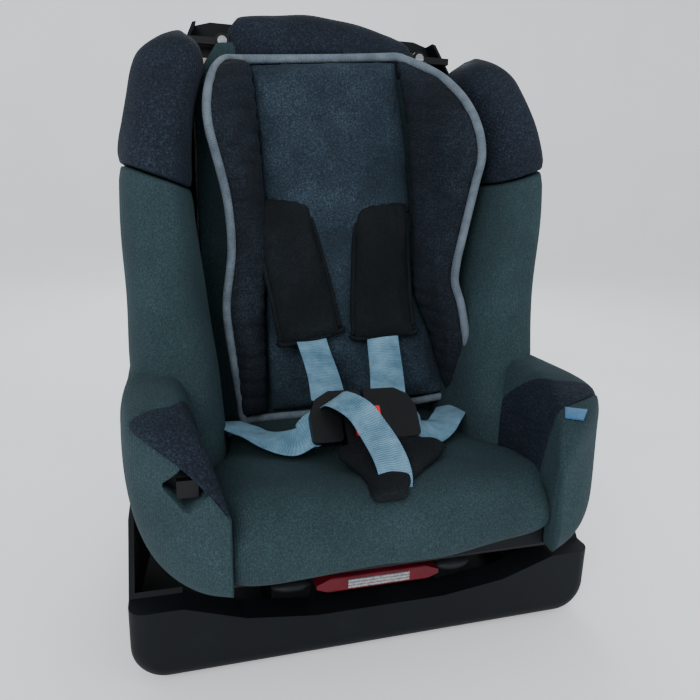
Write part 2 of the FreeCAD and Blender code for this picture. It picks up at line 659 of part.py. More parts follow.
def arm_cover(side, label):
    """Padded arm rest wrapped over the side wall, whose front rounds in towards the cushion."""
    view = [("cover_front + 18", "cover_base + 14"), ("cover_front + 12", "cover_base + 40"),
            ("cover_front + 12", "cushion_top + 4"), ("-202", "224"), ("-170", "cover_arm_top - 3"),
            ("-150", "cover_arm_top"), ("64", "cover_arm_top"), ("64", "cover_base + 20"),
            ("arm_front + 14", "cover_base + 14")]
    right = [("arm_inner", "cover_base + 6"), ("190", "cover_base + 12"), ("arm_half - 14", "cover_base + 50"),
             ("arm_half", "cover_base + 110"), ("arm_half - 4", "cover_arm_top - 18"),
             ("arm_half - 22", "cover_arm_top"), ("arm_inner + 12", "cover_arm_top"), ("arm_inner", "cover_arm_top - 40")]
    front = right if side > 0 else [("-(%s)" % across, up) for across, up in reversed(right)]
    plan = [("arm_inner", "cover_front + 12"), ("162", "cover_front + 17"), ("184", "cover_front + 30"),
            ("204", "cover_front + 50"), ("218", "-172"), ("arm_half", "-140"), ("arm_half", "64"),
            ("arm_inner", "64")]
    if side < 0:
        plan = [("-(%s)" % across, along) for across, along in reversed(plan)]
    corner = slab("ArmPlan", plan, Rotation(), "0", "300")
    view = common("ArmView", slab("ArmSide", view, SIDE_TURN, "-240", "240"), corner)
    blank = common("ArmBlank", view, slab("ArmFront", front, FRONT_TURN, "-260", "260"))
    room = [doc.getObject("SeatShell")] + belt_windows()
    if side < 0:
        room += hook_room()
    return done(cut("Arm", blank, fuse("ArmRoom", room)), label)


def hook_room():
    """Diamond-shaped opening in the front of the left arm's cover, and the hook's seat behind it."""
    diamond = [("-hook_x - hook_half", "hook_z"), ("-hook_x", "hook_z - hook_half"),
               ("-hook_x + hook_half", "hook_z"), ("-hook_x", "hook_z + hook_half")]
    return [slab("HookOpening", diamond, FRONT_TURN, "195", "260"),
            block("HookSeat", ("-190", "-201", "hook_z - 10"), ("-hook_x + 10", "-183", "hook_z + 10"))]


def infant_insert():
    """Removable infant pad: a middle panel against the back, with side bolsters along the wings."""
    foot_y = "back_bottom_y - 34.5"
    side = [(foot_y + " - insert_thick", "cushion_rear + 12"), (foot_y, "cushion_rear + 12"),
            ("back_top_y - 46.5", "back_top - 44"), ("back_top_y - 47.5 - insert_thick", "back_top - 36")]
    front = [("118", "cushion_rear + 12"), ("126", "cushion_rear + 30"), ("112", "330"), ("140", "450"),
             ("138", "510"), ("96", "back_top - 34"), ("-96", "back_top - 34"), ("-138", "510"),
             ("-140", "450"), ("-112", "330"), ("-126", "cushion_rear + 30"), ("-118", "cushion_rear + 12")]
    return soft_block("Insert", "infant_insert", side, front, less=shoulder_room())


def insert_bolsters():
    """Side bolsters of the infant pad, ahead of its middle panel."""
    view = [("26", "360"), ("6", "430"), ("14", "520"), ("52", "540"), ("52", "430"), ("42", "360")]
    right = box_corners("wing_inner - 30", "wing_inner - 0.5", "340", "560")
    pads = []
    for side in (-1, 1):
        front = right if side > 0 else [("-(%s)" % across, up) for across, up in reversed(right)]
        pads.append(common("Bolster", slab("BolsterSide", view, SIDE_TURN, "-240", "240"),
                           slab("BolsterFront", front, FRONT_TURN, "-260", "260")))
    both = group("Bolsters", pads)
    return done(cut("InsertBolsters", both, doc.getObject("Insert")), "insert_bolsters")


# Harness: flat webbing as ruled strips through hand-placed stations

def strip_shape(stations, width, thickness):
    """Solid strip through stations, each a centre and the direction across the webbing."""
    centres = [Vector(*centre) for centre, across in stations]
    outlines = []
    for index, (centre, across) in enumerate(stations):
        before = centres[max(index - 1, 0)]
        after = centres[min(index + 1, len(centres) - 1)]
        along = (after - before).normalize()
        flat = Vector(*across).normalize()
        flat = (flat - along * flat.dot(along)).normalize()
        normal = along.cross(flat)
        middle = centres[index]
        corners = [middle + flat * (side * width / 2) + normal * (face * thickness / 2)
                   for side, face in ((-1, -1), (1, -1), (1, 1), (-1, 1))]
        outlines.append(Part.makePolygon(corners + corners[:1]))
    return Part.makeLoft(outlines, True, True)


def strip(label, stations):
    """Strap that turns or leans across the seat, with straight edges from station to station."""
    feature = doc.addObject("Part::Feature", "Strip")
    feature.Shape = strip_shape(stations, value("webbing"), value("webbing_thick"))
    return done(feature, label)


def side_strip(label, route):
    """Strap on the seat's middle plane: its edge-on outline, from mitred offsets of the route, made as wide as webbing."""
    route = [Vector(0, along, up) for along, up in route]
    edges = ([], [])
    for index, middle in enumerate(route):
        inward = (middle - route[max(index - 1, 0)] if index else route[1] - route[0]).normalize()
        onward = (route[min(index + 1, len(route) - 1)] - middle if index + 1 < len(route) else inward).normalize()
        mitre = (inward + onward).normalize()
        square = Vector(0, -mitre.z, mitre.y)
        reach = value("webbing_thick") / 2 / mitre.dot(inward)
        edges[0].append(middle + square * reach)
        edges[1].insert(0, middle - square * reach)
    corners = [("%.3f" % corner.y, "%.3f" % corner.z) for corner in edges[0] + edges[1]]
    return done(slab("SideStrip", corners, SIDE_TURN, "-webbing / 2", "webbing / 2"), label)


def flipped(stations):
    """The same stations on the other side of the seat."""
    return [((-x, y, z), (-u, v, w)) for (x, y, z), (u, v, w) in stations]


ACROSS = (1, 0, 0)
SHOULDER_ROUTE = [((48, 84, 414), ACROSS), ((48, 50, 414), ACROSS), ((48, 40, 410), ACROSS), ((47, 33, 380), ACROSS),
                  ((45, 20, 300), ACROSS), ((40, -6, 260), ACROSS), ((35, -50, 228), ACROSS),
                  ((33, -78, 220), ACROSS), ((33, -93, 217.5), ACROSS)]
LAP_ROUTE = [((138, -20, 167.5), (0.3, 0.95, 0)), ((136, -22, 180), (0.2, 0.98, 0)),
             ((112, -52, 186), (0.35, 0.9, 0.2)), ((74, -84, 196), (0.45, 0.85, 0.3)),
             ((46, -106.5, 200), (0.5, 0.8, 0.3))]
REAR_ROUTE = [((48, 108, 414), ACROSS), ((48, 136, 412), ACROSS), ((47, 148, 400), ACROSS),
              ((40, 146, 340), ACROSS), ((27, 141.5, 267), ACROSS)]


def shoulder_pad(side, label):
    """Padded sleeve round the shoulder strap."""
    stations = [((48, 37, 406), ACROSS), ((47, 32.5, 380), ACROSS), ((46, 24, 320), ACROSS),
                ((44.5, 14, 290), ACROSS), ((41, -3, 258), ACROSS)]
    route = stations if side > 0 else flipped(stations)
    outer = strip_shape(route, 72, 13)
    inner = strip_shape(SHOULDER_ROUTE if side > 0 else flipped(SHOULDER_ROUTE), 41, 3)
    feature = doc.addObject("Part::Feature", "ShoulderPad")
    feature.Shape = outer.cut(inner)
    return done(feature, label)


def webbing():
    for side, word in ((-1, "left"), (1, "right")):
        for route, name in ((SHOULDER_ROUTE, "shoulder_strap_"), (LAP_ROUTE, "lap_strap_"),
                            (REAR_ROUTE, "rear_strap_")):
            strip(name + word, route if side > 0 else flipped(route))
    side_strip("crotch_strap", [(-147, 100.2), (-147, 148), (-145, 160), (-140.6, 167)])
    side_strip("adjuster_strap", [(-212, 157), (-224, 170), (-226, 183), (-215, 191), (-180, 195.5), (-160, 204),
                                  (-146, 226)])
    side_strip("adjuster_tail", [(137, 234), (114, 160), (105, 116), (92, 97.6), (60, 96.4), (-60, 95.6),
                                 (-120, 95.6), (-186, 95.2), (-199, 102), (-207, 134)])


def splitter_plate():
    """Steel yoke behind the shell that joins both shoulder straps to the adjuster strap."""
    outline = [("-50", "246"), ("-22", "232"), ("22", "232"), ("50", "246"), ("50", "262"), ("-50", "262")]
    blank = slab("SplitterPlate", outline, FRONT_TURN, "-141", "-138.5")
    slots = [block("SplitterSlot", (low, "130", "251"), (high, "150", "255"))
             for low, high in (("-47", "-6"), ("6", "47"))]
    return done(cut("Splitter", blank, fuse("SplitterSlots", slots)), "splitter_plate")


def strap_anchors():
    """Steel bars that stop the crotch and lap straps from pulling back through the shell."""
    bars = [block("CrotchAnchor", ("-30", "-158", "shell_base - 3"), ("30", "-136", "shell_base"))]
    for side in (-1, 1):
        bars.append(block("LapAnchor", ("%d * 138 - 13" % side, "-32", "shell_base - 3"),
                          ("%d * 138 + 13" % side, "-8", "shell_base")))
    return done(group("Anchors", bars), "strap_anchors")


# Buckle and its tongues, leaning back on the crotch strap

def buckle_place(x=0, y=0, z=0):
    """Placement in the buckle's leaning frame: z along its length towards the child, y into its thickness."""
    turn = Rotation(Vector(1, 0, 0), -value("buckle_lean"))
    centre = Vector(0, value("buckle_y"), value("buckle_z"))
    return Placement(centre + turn.multVec(Vector(x, y, z)), turn)


def leaning(name, low, high):
    box = doc.addObject("Part::Box", name)
    box.Length, box.Width, box.Height = [end - start for start, end in zip(low, high)]
    box.Placement = buckle_place(*low)
    return box


def buckle_body():
    """Moulded housing with a square opening in front for the release button and a mouth for the tongues."""
    body = new_body()
    pad(body, "XZ_Plane", rectangle("buckle_wide / 2", "-buckle_long / 2", "buckle_long / 2"), "buckle_deep",
        middle=True)
    round_edges(body, "4", lambda edge: runs_along(edge, "y"))
    pocket(body, "XZ_Plane", rectangle("13.5", "-4", "buckle_long / 2 - 5"), "9", offset="buckle_deep / 2 - 9",
           backwards=True)
    mouth = rectangle("buckle_wide / 2 - 4", "buckle_long / 2 - 16", "buckle_long / 2 + 1")
    pocket(body, "XZ_Plane", mouth, "7", offset="-8", backwards=True)
    strap_slit = rectangle("20", "-buckle_long / 2 - 1", "-buckle_long / 2 + 12")
    pocket(body, "XZ_Plane", strap_slit, "4", middle=True)
    body.Placement = buckle_place()
    return done(body, "buckle_body")


def buckle_button():
    """Red square release button."""
    body = new_body()
    pad(body, "XZ_Plane", rectangle("13.2", "-3.7", "buckle_long / 2 - 5.3"), "7.5", offset="buckle_deep / 2 - 4.5")
    round_edges(body, "1.6", lambda edge: runs_along(edge, "y"))
    body.Placement = buckle_place()
    return done(body, "buckle_button")


def button_spring():
    """Light leaf block behind the button."""
    return done(leaning("ButtonSpring", (-6, -7.2, 4), (6, -4.6, 18)), "button_spring")


def tongues(side, label):
    """Tongue of one side: a steel blade in the buckle's mouth and a moulded half dome that carries both straps."""
    blade = leaning("Blade", (min(side * 1, side * 17), 2.5, 16), (max(side * 1, side * 17), 5, 34))
    dome = [(1.5, 31.5), (24.5, 31.5), (24.5, -6), (54, -6), (54, 24), (48, 38), (34, 46), (1.5, 46)]
    grip = new_body()
    pad(grip, "XZ_Plane", [("%g" % (side * across), "%g" % along) for across, along in dome], "13", middle=True)
    round_edges(grip, "5", lambda edge: runs_along(edge, "y"))
    grip.Placement = buckle_place()
    whole = fuse("Tongue" + label, [blade, grip])
    straps = [item for item in finished if item.Label in ("shoulder_strap_" + label, "lap_strap_" + label)]
    housing = next(item for item in finished if item.Label == "buckle_body")
    return done(cut("TongueCut", whole, fuse("TongueRoom", straps + [housing])), "tongue_" + label)


def crotch_pad():
    """Shield-shaped padded flap under the buckle."""
    outline = [("-54", "-12"), ("-50", "0"), ("50", "0"), ("54", "-12"), ("18", "-74"), ("-18", "-74")]
    body = new_body(Vector(0, -144, 175), Rotation(Vector(1, 0, 0), -3))
    pad(body, "XY_Plane", outline, "8")
    round_edges(body, "9", lambda edge: runs_along(edge, "z"))
    room = block("PadRoom", ("-26", "-156", "150"), ("26", "-130", "200"))
    return done(cut("CrotchPad", body, room), "crotch_pad")


# Strap adjuster in the front of the cushion

def adjuster_body():
    """Housing on the front lip with a throat for the adjuster strap and ears for the release lever."""
    blank = block("AdjusterBlank", ("-25", "-233", "lip_top + 3"), ("25", "-223", "164"))
    foot = block("AdjusterFoot", ("-25", "-223", "lip_top + 3"), ("25", "-196", "lip_top + 7"))
    ears = [block("AdjusterEar", (str(low), "-223", "lip_top + 3"), (str(low + 3), "-198", "160"))
            for low in (-25, 22)]
    throat = block("Throat", ("-20", "-220", "100"), ("20", "-197", "190"))
    hole = rod("AdjusterHole", "2.5", "60", Vector(-30, -204, 150), ALONG_X)
    return done(cut("AdjusterBody", fuse("AdjusterSolid", [blank, foot] + ears), fuse("AdjusterRoom", [throat, hole])),
                "adjuster_body")


def adjuster_pin():
    return done(rod("AdjusterPin", "2.5", "50", Vector(-25, -204, 150), ALONG_X), "adjuster_pin")


def adjuster_lever():
    """Grey release lever on the adjuster's pin."""
    paddle = block("Paddle", ("-18", "-200", "148"), ("18", "-194", "165"))
    hub = rod("LeverHub", "4.5", "36", Vector(-18, -204, 150), ALONG_X)
    hole = rod("LeverHubHole", "2.55", "60", Vector(-30, -204, 150), ALONG_X)
    return done(cut("AdjusterLever", fuse("LeverBlank", [paddle, hub]), hole), "adjuster_lever")


# Lock-off clips beside the head panel, belt hooks, piping and the tag

def clip_base(side, label):
    """Bracket on the top corner of the shell's back, with the boss for the clip's pin."""
    pin = Vector(side * value("clip_x"), value("clip_y"), value("clip_z"))
    boss = rod("ClipBoss", "9", "30", pin, ALONG_BACK)
    plate = block("ClipPlate", ("%d * (clip_x + 10) - 15" % side, "clip_y + 10", "clip_z - 14"),
                  ("%d * (clip_x + 10) + 15" % side, "back_top_y - 4", "clip_z + 6"))
    hole = rod("ClipHole", "clip_pin", "18.2", pin - Vector(0, 0.5, 0), ALONG_BACK)
    return done(cut("ClipBase", fuse("ClipBlank", [boss, plate]), hole), "clip_base_" + label)


def clip_lever(side, label):
    """Black lever of the lock-off clip: a round boss on the pin and a finger that points outward."""
    pin = Vector(side * value("clip_x"), value("clip_y - 9"), value("clip_z"))
    boss = rod("LeverBoss", "8", "8.5", pin, ALONG_BACK)
    finger = block("LeverFinger", ("%d * (clip_x + 20) - 18" % side, "clip_y - 8", "clip_z - 4"),
                   ("%d * (clip_x + 20) + 18" % side, "clip_y - 2", "clip_z + 3"))
    hole = rod("LeverHole", "clip_pin + 0.05", "60", pin - Vector(0, 20, 0), ALONG_BACK)
    return done(cut("ClipLever", fuse("ClipLeverBlank", [boss, finger]), hole), "clip_lever_" + label)


def clip_pin(side, label):
    pin = Vector(side * value("clip_x"), value("clip_y - 9.5"), value("clip_z"))
    shaft = rod("ClipShaft", "clip_pin", "27", pin, ALONG_BACK)
    head = rod("ClipHead", "5", "1.6", pin - Vector(0, 1.6, 0), ALONG_BACK)
    return done(fuse("ClipPin", [shaft, head]), "clip_pin_" + label)


def belt_hook():
    """Hook on the front edge of the left side wall that guides the car's lap belt, open towards the outside."""
    bar = block("HookBar", ("-189", "-200", "hook_z - 9"), ("-hook_x + 9", "-184", "hook_z + 9"))
    stem = block("HookStem", ("-hook_x + 3", "-222", "hook_z - 7"), ("-hook_x + 9", "-200", "hook_z + 7"))
    lip = block("HookLip", ("-hook_x - 7", "-222", "hook_z - 7"), ("-hook_x + 3", "-216", "hook_z + 7"))
    return done(fuse("Hook", [bar, stem, lip]), "belt_hook")


def build():
    """All sub-parts, from the floor up."""
    base_shell()
    rail(-1, "rail_left")
    rail(1, "rail_right")
    rack_support()
    lock_rack()
    feet()
    bumpers()
    rail_screws()
    seat_shell()
    back_ribs()
    guide_shoes()
    shoe_bolts()
    lever_bracket()
    lever_pin()
    lever_arm()
    lock_pin()
    recline_handle()
    handle_label()
    lever_spring()
    pan_foam()
    cushion_cover()
    back_foam()
    back_cover()
    head_panel()
    for side, word in ((-1, "left"), (1, "right")):
        wing_cover(side, "wing_cover_" + word)
        arm_cover(side, "arm_cover_" + word)
    infant_insert()
    insert_bolsters()
    webbing()
    splitter_plate()
    strap_anchors()
    buckle_body()
    buckle_button()
    button_spring()
    for side, word in ((-1, "left"), (1, "right")):
        shoulder_pad(side, "shoulder_pad_" + word)
        tongues(side, word)
    crotch_pad()
    adjuster_body()
    adjuster_pin()
    adjuster_lever()
    for side, word in ((-1, "left"), (1, "right")):
        clip_base(side, word)
        clip_lever(side, word)
        clip_pin(side, word)
    belt_hook()


def check():
    """Stops if any object failed or any sub-part isn't a valid shape."""
    for item in doc.Objects:
        if "Invalid" in item.State or "Error" in item.State:
            raise ValueError("%s (%s) failed: %s" % (item.Name, item.Label, item.State))
    for item in finished:
        if item.Shape.isNull() or not item.Shape.isValid() or not item.Shape.Solids:
            raise ValueError("%s is not a valid solid" % item.Label)


build()
doc.recompute()
check()
os.makedirs("parts", exist_ok=True)
for item in finished:
    item.Shape.exportStep("parts/%s.step" % item.Label)
whole = Part.makeCompound([item.Shape for item in finished]).BoundBox
print("%d sub-parts" % len(finished), whole)
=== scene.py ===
"""Looks of a convertible child car seat: covers, infant pad, harness webbing and hard-part finishes.

The frame's axes are kept: +Z up, -Y the way the child faces. Shapes are worked out in millimetres as numpy
grids and turned to metres where a mesh is made.
"""
import json
import math

import bmesh
import bpy
import numpy as np
from mathutils import Matrix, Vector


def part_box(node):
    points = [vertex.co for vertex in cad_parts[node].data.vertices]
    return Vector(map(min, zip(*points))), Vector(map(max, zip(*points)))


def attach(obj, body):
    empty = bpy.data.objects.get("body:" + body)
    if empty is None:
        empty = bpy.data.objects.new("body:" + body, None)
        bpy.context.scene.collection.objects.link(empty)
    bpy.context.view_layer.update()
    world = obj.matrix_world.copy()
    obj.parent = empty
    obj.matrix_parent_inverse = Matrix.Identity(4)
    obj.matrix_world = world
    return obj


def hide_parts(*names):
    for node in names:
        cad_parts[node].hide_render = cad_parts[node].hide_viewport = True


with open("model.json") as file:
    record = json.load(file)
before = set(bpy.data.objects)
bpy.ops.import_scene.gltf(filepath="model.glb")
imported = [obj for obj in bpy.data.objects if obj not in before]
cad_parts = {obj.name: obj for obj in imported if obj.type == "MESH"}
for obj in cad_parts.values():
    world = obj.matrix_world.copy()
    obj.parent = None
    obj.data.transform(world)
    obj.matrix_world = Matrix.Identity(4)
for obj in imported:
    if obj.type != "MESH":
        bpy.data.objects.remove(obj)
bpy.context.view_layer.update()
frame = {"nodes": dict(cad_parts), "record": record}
MM = 0.001
SIDES = {"left": -1, "right": 1}


# --- Camera, light and floor -------------------------------------------------------------------------------

def camera():
    """Camera 0.67 m in front and 0.18 m to the left, looking 16 degrees to the right and 14 down."""
    heading, pitch, roll = math.radians(16.0), math.radians(13.96), math.radians(1.6)
    level_part = math.cos(pitch)
    forward = np.array([math.sin(heading) * level_part, math.cos(heading) * level_part, -math.sin(pitch)])
    level = np.array([math.cos(heading), -math.sin(heading), 0.0])
    above = np.cross(level, forward)
    right = math.cos(roll) * level + math.sin(roll) * above
    up = math.cos(roll) * above - math.sin(roll) * level
    data = bpy.data.cameras.new("view")
    data.lens = 32.2
    data.sensor_width = 36
    data.clip_start = 0.02
    eye = bpy.data.objects.new("view", data)
    matrix = np.eye(4)
    matrix[:3, 0], matrix[:3, 1], matrix[:3, 2] = right, up, -forward
    matrix[:3, 3] = (-0.17515, -0.6655, 0.4169)
    eye.matrix_world = Matrix(matrix.tolist())
    bpy.context.scene.collection.objects.link(eye)
    bpy.context.scene.camera = eye


def softbox(name, place, size, power):
    """Square white area light aimed at the middle of the seat."""
    data = bpy.data.lights.new(name, "AREA")
    data.size = size
    data.energy = power
    lamp = bpy.data.objects.new(name, data)
    aim = np.array([0.0, 0.0, 0.3]) - np.array(place)
    away = -aim / np.linalg.norm(aim)
    across = np.cross((0, 0, 1), away)
    across /= np.linalg.norm(across)
    matrix = np.eye(4)
    matrix[:3, 0], matrix[:3, 1], matrix[:3, 2] = across, np.cross(away, across), away
    matrix[:3, 3] = place
    lamp.matrix_world = Matrix(matrix.tolist())
    bpy.context.scene.collection.objects.link(lamp)


def studio():
    """Pale sweep of floor under even white light, with the key from the front left. The floor is flat, then
    a quarter circle, then upright: level run and rise are the sine and one minus the cosine of the turn so
    far."""
    world = bpy.data.worlds.new("studio")
    world.use_nodes = True
    world.node_tree.nodes["Background"].inputs["Color"].default_value = (0.92, 0.95, 1.0, 1)
    world.node_tree.nodes["Background"].inputs["Strength"].default_value = 0.75
    bpy.context.scene.world = world
    softbox("key", (-1.1, -2.0, 1.4), 1.3, 40)
    softbox("fill", (1.6, -1.1, 1.0), 1.6, 9)
    softbox("back", (0.4, 1.9, 1.6), 1.2, 20)
    x, y = np.meshgrid(np.linspace(-12, 12, 25), np.linspace(-12, 6, 145), indexing="ij")
    start, radius, below_feet = 2.5, 1.2, 0.0006
    run = np.clip(y - start, 0, None)
    turn = np.minimum(run / radius, math.pi / 2)
    wall = np.clip(run - 1.885, 0, None)
    level = np.minimum(y, start) + radius * np.sin(turn)
    sweep = np.stack([x, level, -below_feet + radius * (1 - np.cos(turn)) + wall], axis=-1)
    floor = grid_mesh("floor", sweep / MM, ring=False)
    floor.data.materials.append(floor_paint())


# --- Curves and surfaces -----------------------------------------------------------------------------------

def through(points, count, loop=False):
    """Evenly spaced places on a smooth curve through the points: between two points it is the cubic whose
    end slopes are half the chord between each point's neighbours."""
    given = np.asarray(points, float)
    if loop:
        given = np.vstack([given[-1], given, given[:2]])
    else:
        given = np.vstack([2 * given[0] - given[1], given, 2 * given[-1] - given[-2]])
    spans = len(given) - 3
    place = np.linspace(0, spans, 60 * spans + 1)
    start = np.minimum(place.astype(int), spans - 1)
    f = (place - start)[:, None]
    a, b, c, d = (given[start + shift] for shift in range(4))
    curve = 0.5 * (2 * b + (c - a) * f + (2 * a - 5 * b + 4 * c - d) * f**2 + (3 * b - a - 3 * c + d) * f**3)
    run = np.concatenate([[0], np.cumsum(np.linalg.norm(np.diff(curve, axis=0), axis=1))])
    wanted = np.linspace(0, run[-1], count + 1)[:-1] if loop else np.linspace(0, run[-1], count)
    return np.stack([np.interp(wanted, run, curve[:, axis]) for axis in range(curve.shape[1])], axis=1)


def law(points, at):
    """Value at each place of the smooth curve through (place, value) points."""
    curve = through(points, 300)
    return np.interp(at, curve[:, 0], curve[:, 1])


def ease(low, high, at):
    """0 below low, 1 above high, and a smooth step between."""
    f = np.clip((np.asarray(at, float) - low) / (high - low), 0, 1)
    return f * f * (3 - 2 * f)


def unit(vectors):
    """Vectors divided by their lengths."""
    return vectors / np.maximum(np.linalg.norm(vectors, axis=-1, keepdims=True), 1e-9)


def ripple(points, seed, size):
    """Smooth uneven waves between -1 and 1: the mean of six sines along fixed random directions, about size
    mm apart."""
    draw = np.random.default_rng(seed)
    way = unit(draw.normal(size=(6, 3))) * 2 * math.pi / (size * draw.uniform(0.7, 1.5, (6, 1)))
    phase = draw.uniform(0, 2 * math.pi, 6)
    return np.sin(points @ way.T + phase).mean(axis=-1) * 2


def grid_mesh(name, grid, ring=True, capped=True, flat=None):
    """Mesh of quads on a grid of points (rows, columns, xyz) in millimetres. A ring joins its last column
    to its first, and its end rows are closed with a middle point. flat is the (u, v) length of the laid-out
    surface in metres, kept as its UV map."""
    rows, columns = grid.shape[:2]
    index = np.arange(rows * columns).reshape(rows, columns)
    right = np.roll(index, -1, axis=1) if ring else index[:, 1:]
    left = index if ring else index[:, :-1]
    quads = np.stack([left[:-1], right[:-1], right[1:], left[1:]], axis=-1).reshape(-1, 4)
    places = grid.reshape(-1, 3)
    faces = quads.tolist()
    if ring and capped:
        places = np.vstack([places, grid[0].mean(axis=0), grid[-1].mean(axis=0)])
        first, last = rows * columns, rows * columns + 1
        faces += [[first, b, a] for a, b in zip(left[0].tolist(), right[0].tolist())]
        faces += [[last, a, b] for a, b in zip(left[-1].tolist(), right[-1].tolist())]
    mesh = bpy.data.meshes.new(name)
    mesh.from_pydata((places * MM).tolist(), [], faces)
    if flat is not None:
        u = np.linspace(0, flat[0], columns + ring)
        v = np.linspace(0, flat[1], rows)
        corner_u = np.stack([u[:columns if ring else -1], u[1:], u[1:], u[:columns if ring else -1]],
                            axis=-1)
        corner_v = np.stack([v[:-1], v[:-1], v[1:], v[1:]], axis=-1)
        uv = np.stack(np.broadcast_arrays(corner_u[None], corner_v[:, None]), axis=-1).reshape(-1, 2)
        spare = len(mesh.loops) - len(uv)
        layer = mesh.uv_layers.new(name="flat")
        layer.data.foreach_set("uv", np.vstack([uv, np.zeros((spare, 2))]).ravel())
    work = bmesh.new()
    work.from_mesh(mesh)
    if ring:
        bmesh.ops.recalc_face_normals(work, faces=work.faces)
    work.to_mesh(mesh)
    work.free()
    mesh.shade_smooth()
    piece = bpy.data.objects.new(name, mesh)
    bpy.context.scene.collection.objects.link(piece)
    return piece


def coordinates(mesh):
    """The mesh's vertices in millimetres, one row each."""
    places = np.empty(len(mesh.vertices) * 3, np.float32)
    mesh.vertices.foreach_get("co", places)
    return places.reshape(-1, 3).astype(float) / MM


def moved(piece, change):
    """Moves each vertex by change(places, normals), in millimetres."""
    mesh = piece.data
    normals = np.empty(len(mesh.vertices) * 3, np.float32)
    mesh.vertices.foreach_get("normal", normals)
    places = coordinates(mesh)
    places += change(places, normals.reshape(-1, 3).astype(float))
    mesh.vertices.foreach_set("co", (places * MM).astype(np.float32).ravel())
    mesh.update()
    return piece


def baked(piece):
    """Applies the piece's modifiers to its mesh."""
    shown = piece.evaluated_get(bpy.context.evaluated_depsgraph_get())
    mesh = bpy.data.meshes.new_from_object(shown)
    piece.modifiers.clear()
    old, piece.data = piece.data, mesh
    mesh.name = piece.name
    bpy.data.meshes.remove(old)
    mesh.shade_smooth()
    return piece


def smoothed(piece, levels=1):
    """Subdivides the piece's faces and rounds them, and applies that."""
    finer = piece.modifiers.new("finer", "SUBSURF")
    finer.levels = levels
    finer.render_levels = levels
    return baked(piece)


def swollen(piece, cap, voxel=5.0, pressure=4.0, frames=20):
    """Sewn fabric over foam: the closed form is remeshed and blown up a little as cloth, and no point moves
    further than cap millimetres."""
    remesh = piece.modifiers.new("even", "REMESH")
    remesh.mode = "VOXEL"
    remesh.voxel_size = voxel * MM
    baked(piece)
    start = coordinates(piece.data)
    cloth = piece.modifiers.new("cloth", "CLOTH")
    cloth.settings.quality = 5
    cloth.settings.mass = 0.3
    cloth.settings.tension_stiffness = 20
    cloth.settings.compression_stiffness = 12
    cloth.settings.bending_stiffness = 0.4
    cloth.settings.use_pressure = True
    cloth.settings.uniform_pressure_force = pressure
    cloth.settings.effector_weights.gravity = 0
    cloth.collision_settings.use_collision = False
    for moment in range(1, frames + 1):
        bpy.context.scene.frame_set(moment)
    baked(piece)
    bpy.context.scene.frame_set(1)
    shift = coordinates(piece.data) - start
    length = np.linalg.norm(shift, axis=1, keepdims=True)
    settled = start + shift * np.minimum(1, cap / np.maximum(length, 1e-6))
    piece.data.vertices.foreach_set("co", (settled * MM).astype(np.float32).ravel())
    piece.data.update()
    return piece


def pillow(left, right, thick, rows=60, columns=56, crown=0.0, ends=8):
    """Closed pad between two edge curves: across it the thickness follows a rounded box section, along it
    the ends taper shut, and the middle stands crown millimetres further forward."""
    a, b = through(left, rows)[:, None], through(right, rows)[:, None]
    turn = np.linspace(0, 2 * math.pi, columns, endpoint=False)[None, :, None]
    across = 0.5 - 0.5 * np.cos(turn)
    middle = a + (b - a) * across
    down = np.gradient((a + b) / 2, axis=0)
    front = unit(np.cross(b - a, down))
    front = np.where(front[..., 1:2] > 0, -front, front)
    row = np.linspace(0, 1, rows)[:, None, None]
    taper = np.sqrt(np.clip(1 - np.abs(2 * row - 1) ** ends, 0.0, 1))
    bulge = np.sign(np.sin(turn)) * np.abs(np.sin(turn)) ** 0.55 * thick / 2
    lift = crown * 4 * across * (1 - across) * taper
    return middle + front * (bulge * np.maximum(taper, 0.04) + lift)


def tube(path, width, depth, outward, name, loop=True, sides=14):
    """Rounded binding along a path: an ellipse, width along outward and depth square to it."""
    along = np.roll(path, -1, 0) - np.roll(path, 1, 0) if loop else np.gradient(path, axis=0)
    along = unit(along)
    out = unit(outward - along * (outward * along).sum(1, keepdims=True))
    square = np.cross(along, out)
    turn = np.linspace(0, 2 * math.pi, sides, endpoint=False)
    ring = (path[:, None] + out[:, None] * (np.cos(turn) * width / 2)[None, :, None]
            + square[:, None] * (np.sin(turn) * depth / 2)[None, :, None])
    if loop:
        ring = np.vstack([ring, ring[:1]])
    run = np.linalg.norm(np.diff(path, axis=0), axis=1).sum()
    return grid_mesh(name, ring, capped=not loop, flat=(math.pi * (width + depth) / 2 * MM, run * MM))


def webbing(name, route, width, thick=1.6, rows=90, cup=0.0):
    """Strap woven flat: a thin rounded section carried through stations of (centre, direction across), a
    little cupped along its middle."""
    centres = through([centre for centre, across in route], rows)
    across = through([across for centre, across in route], rows)
    along = unit(np.gradient(centres, axis=0))
    across = unit(across - along * (across * along).sum(1, keepdims=True))
    face = np.cross(along, across)
    turn = np.linspace(0, 2 * math.pi, 32, endpoint=False)
    wide = np.sign(np.cos(turn)) * np.abs(np.cos(turn)) ** 0.5
    deep = np.sign(np.sin(turn)) * np.abs(np.sin(turn)) ** 0.6
    bow = cup * (1 - wide**2)
    places = (centres[:, None] + across[:, None] * (wide * width / 2)[None, :, None]
              + face[:, None] * (deep * thick / 2 + bow)[None, :, None])
    length = np.linalg.norm(np.diff(centres, axis=0), axis=1).sum()
    strap = grid_mesh(name, places, flat=(2 * width * MM, length * MM))
    return strap, length


def mirrored_route(route):
    """The same stations on the other side of the seat: X and the across direction's X change sign."""
    return [((-x, y, z), (-u, v, w)) for (x, y, z), (u, v, w) in route]


# --- Materials ---------------------------------------------------------------------------------------------

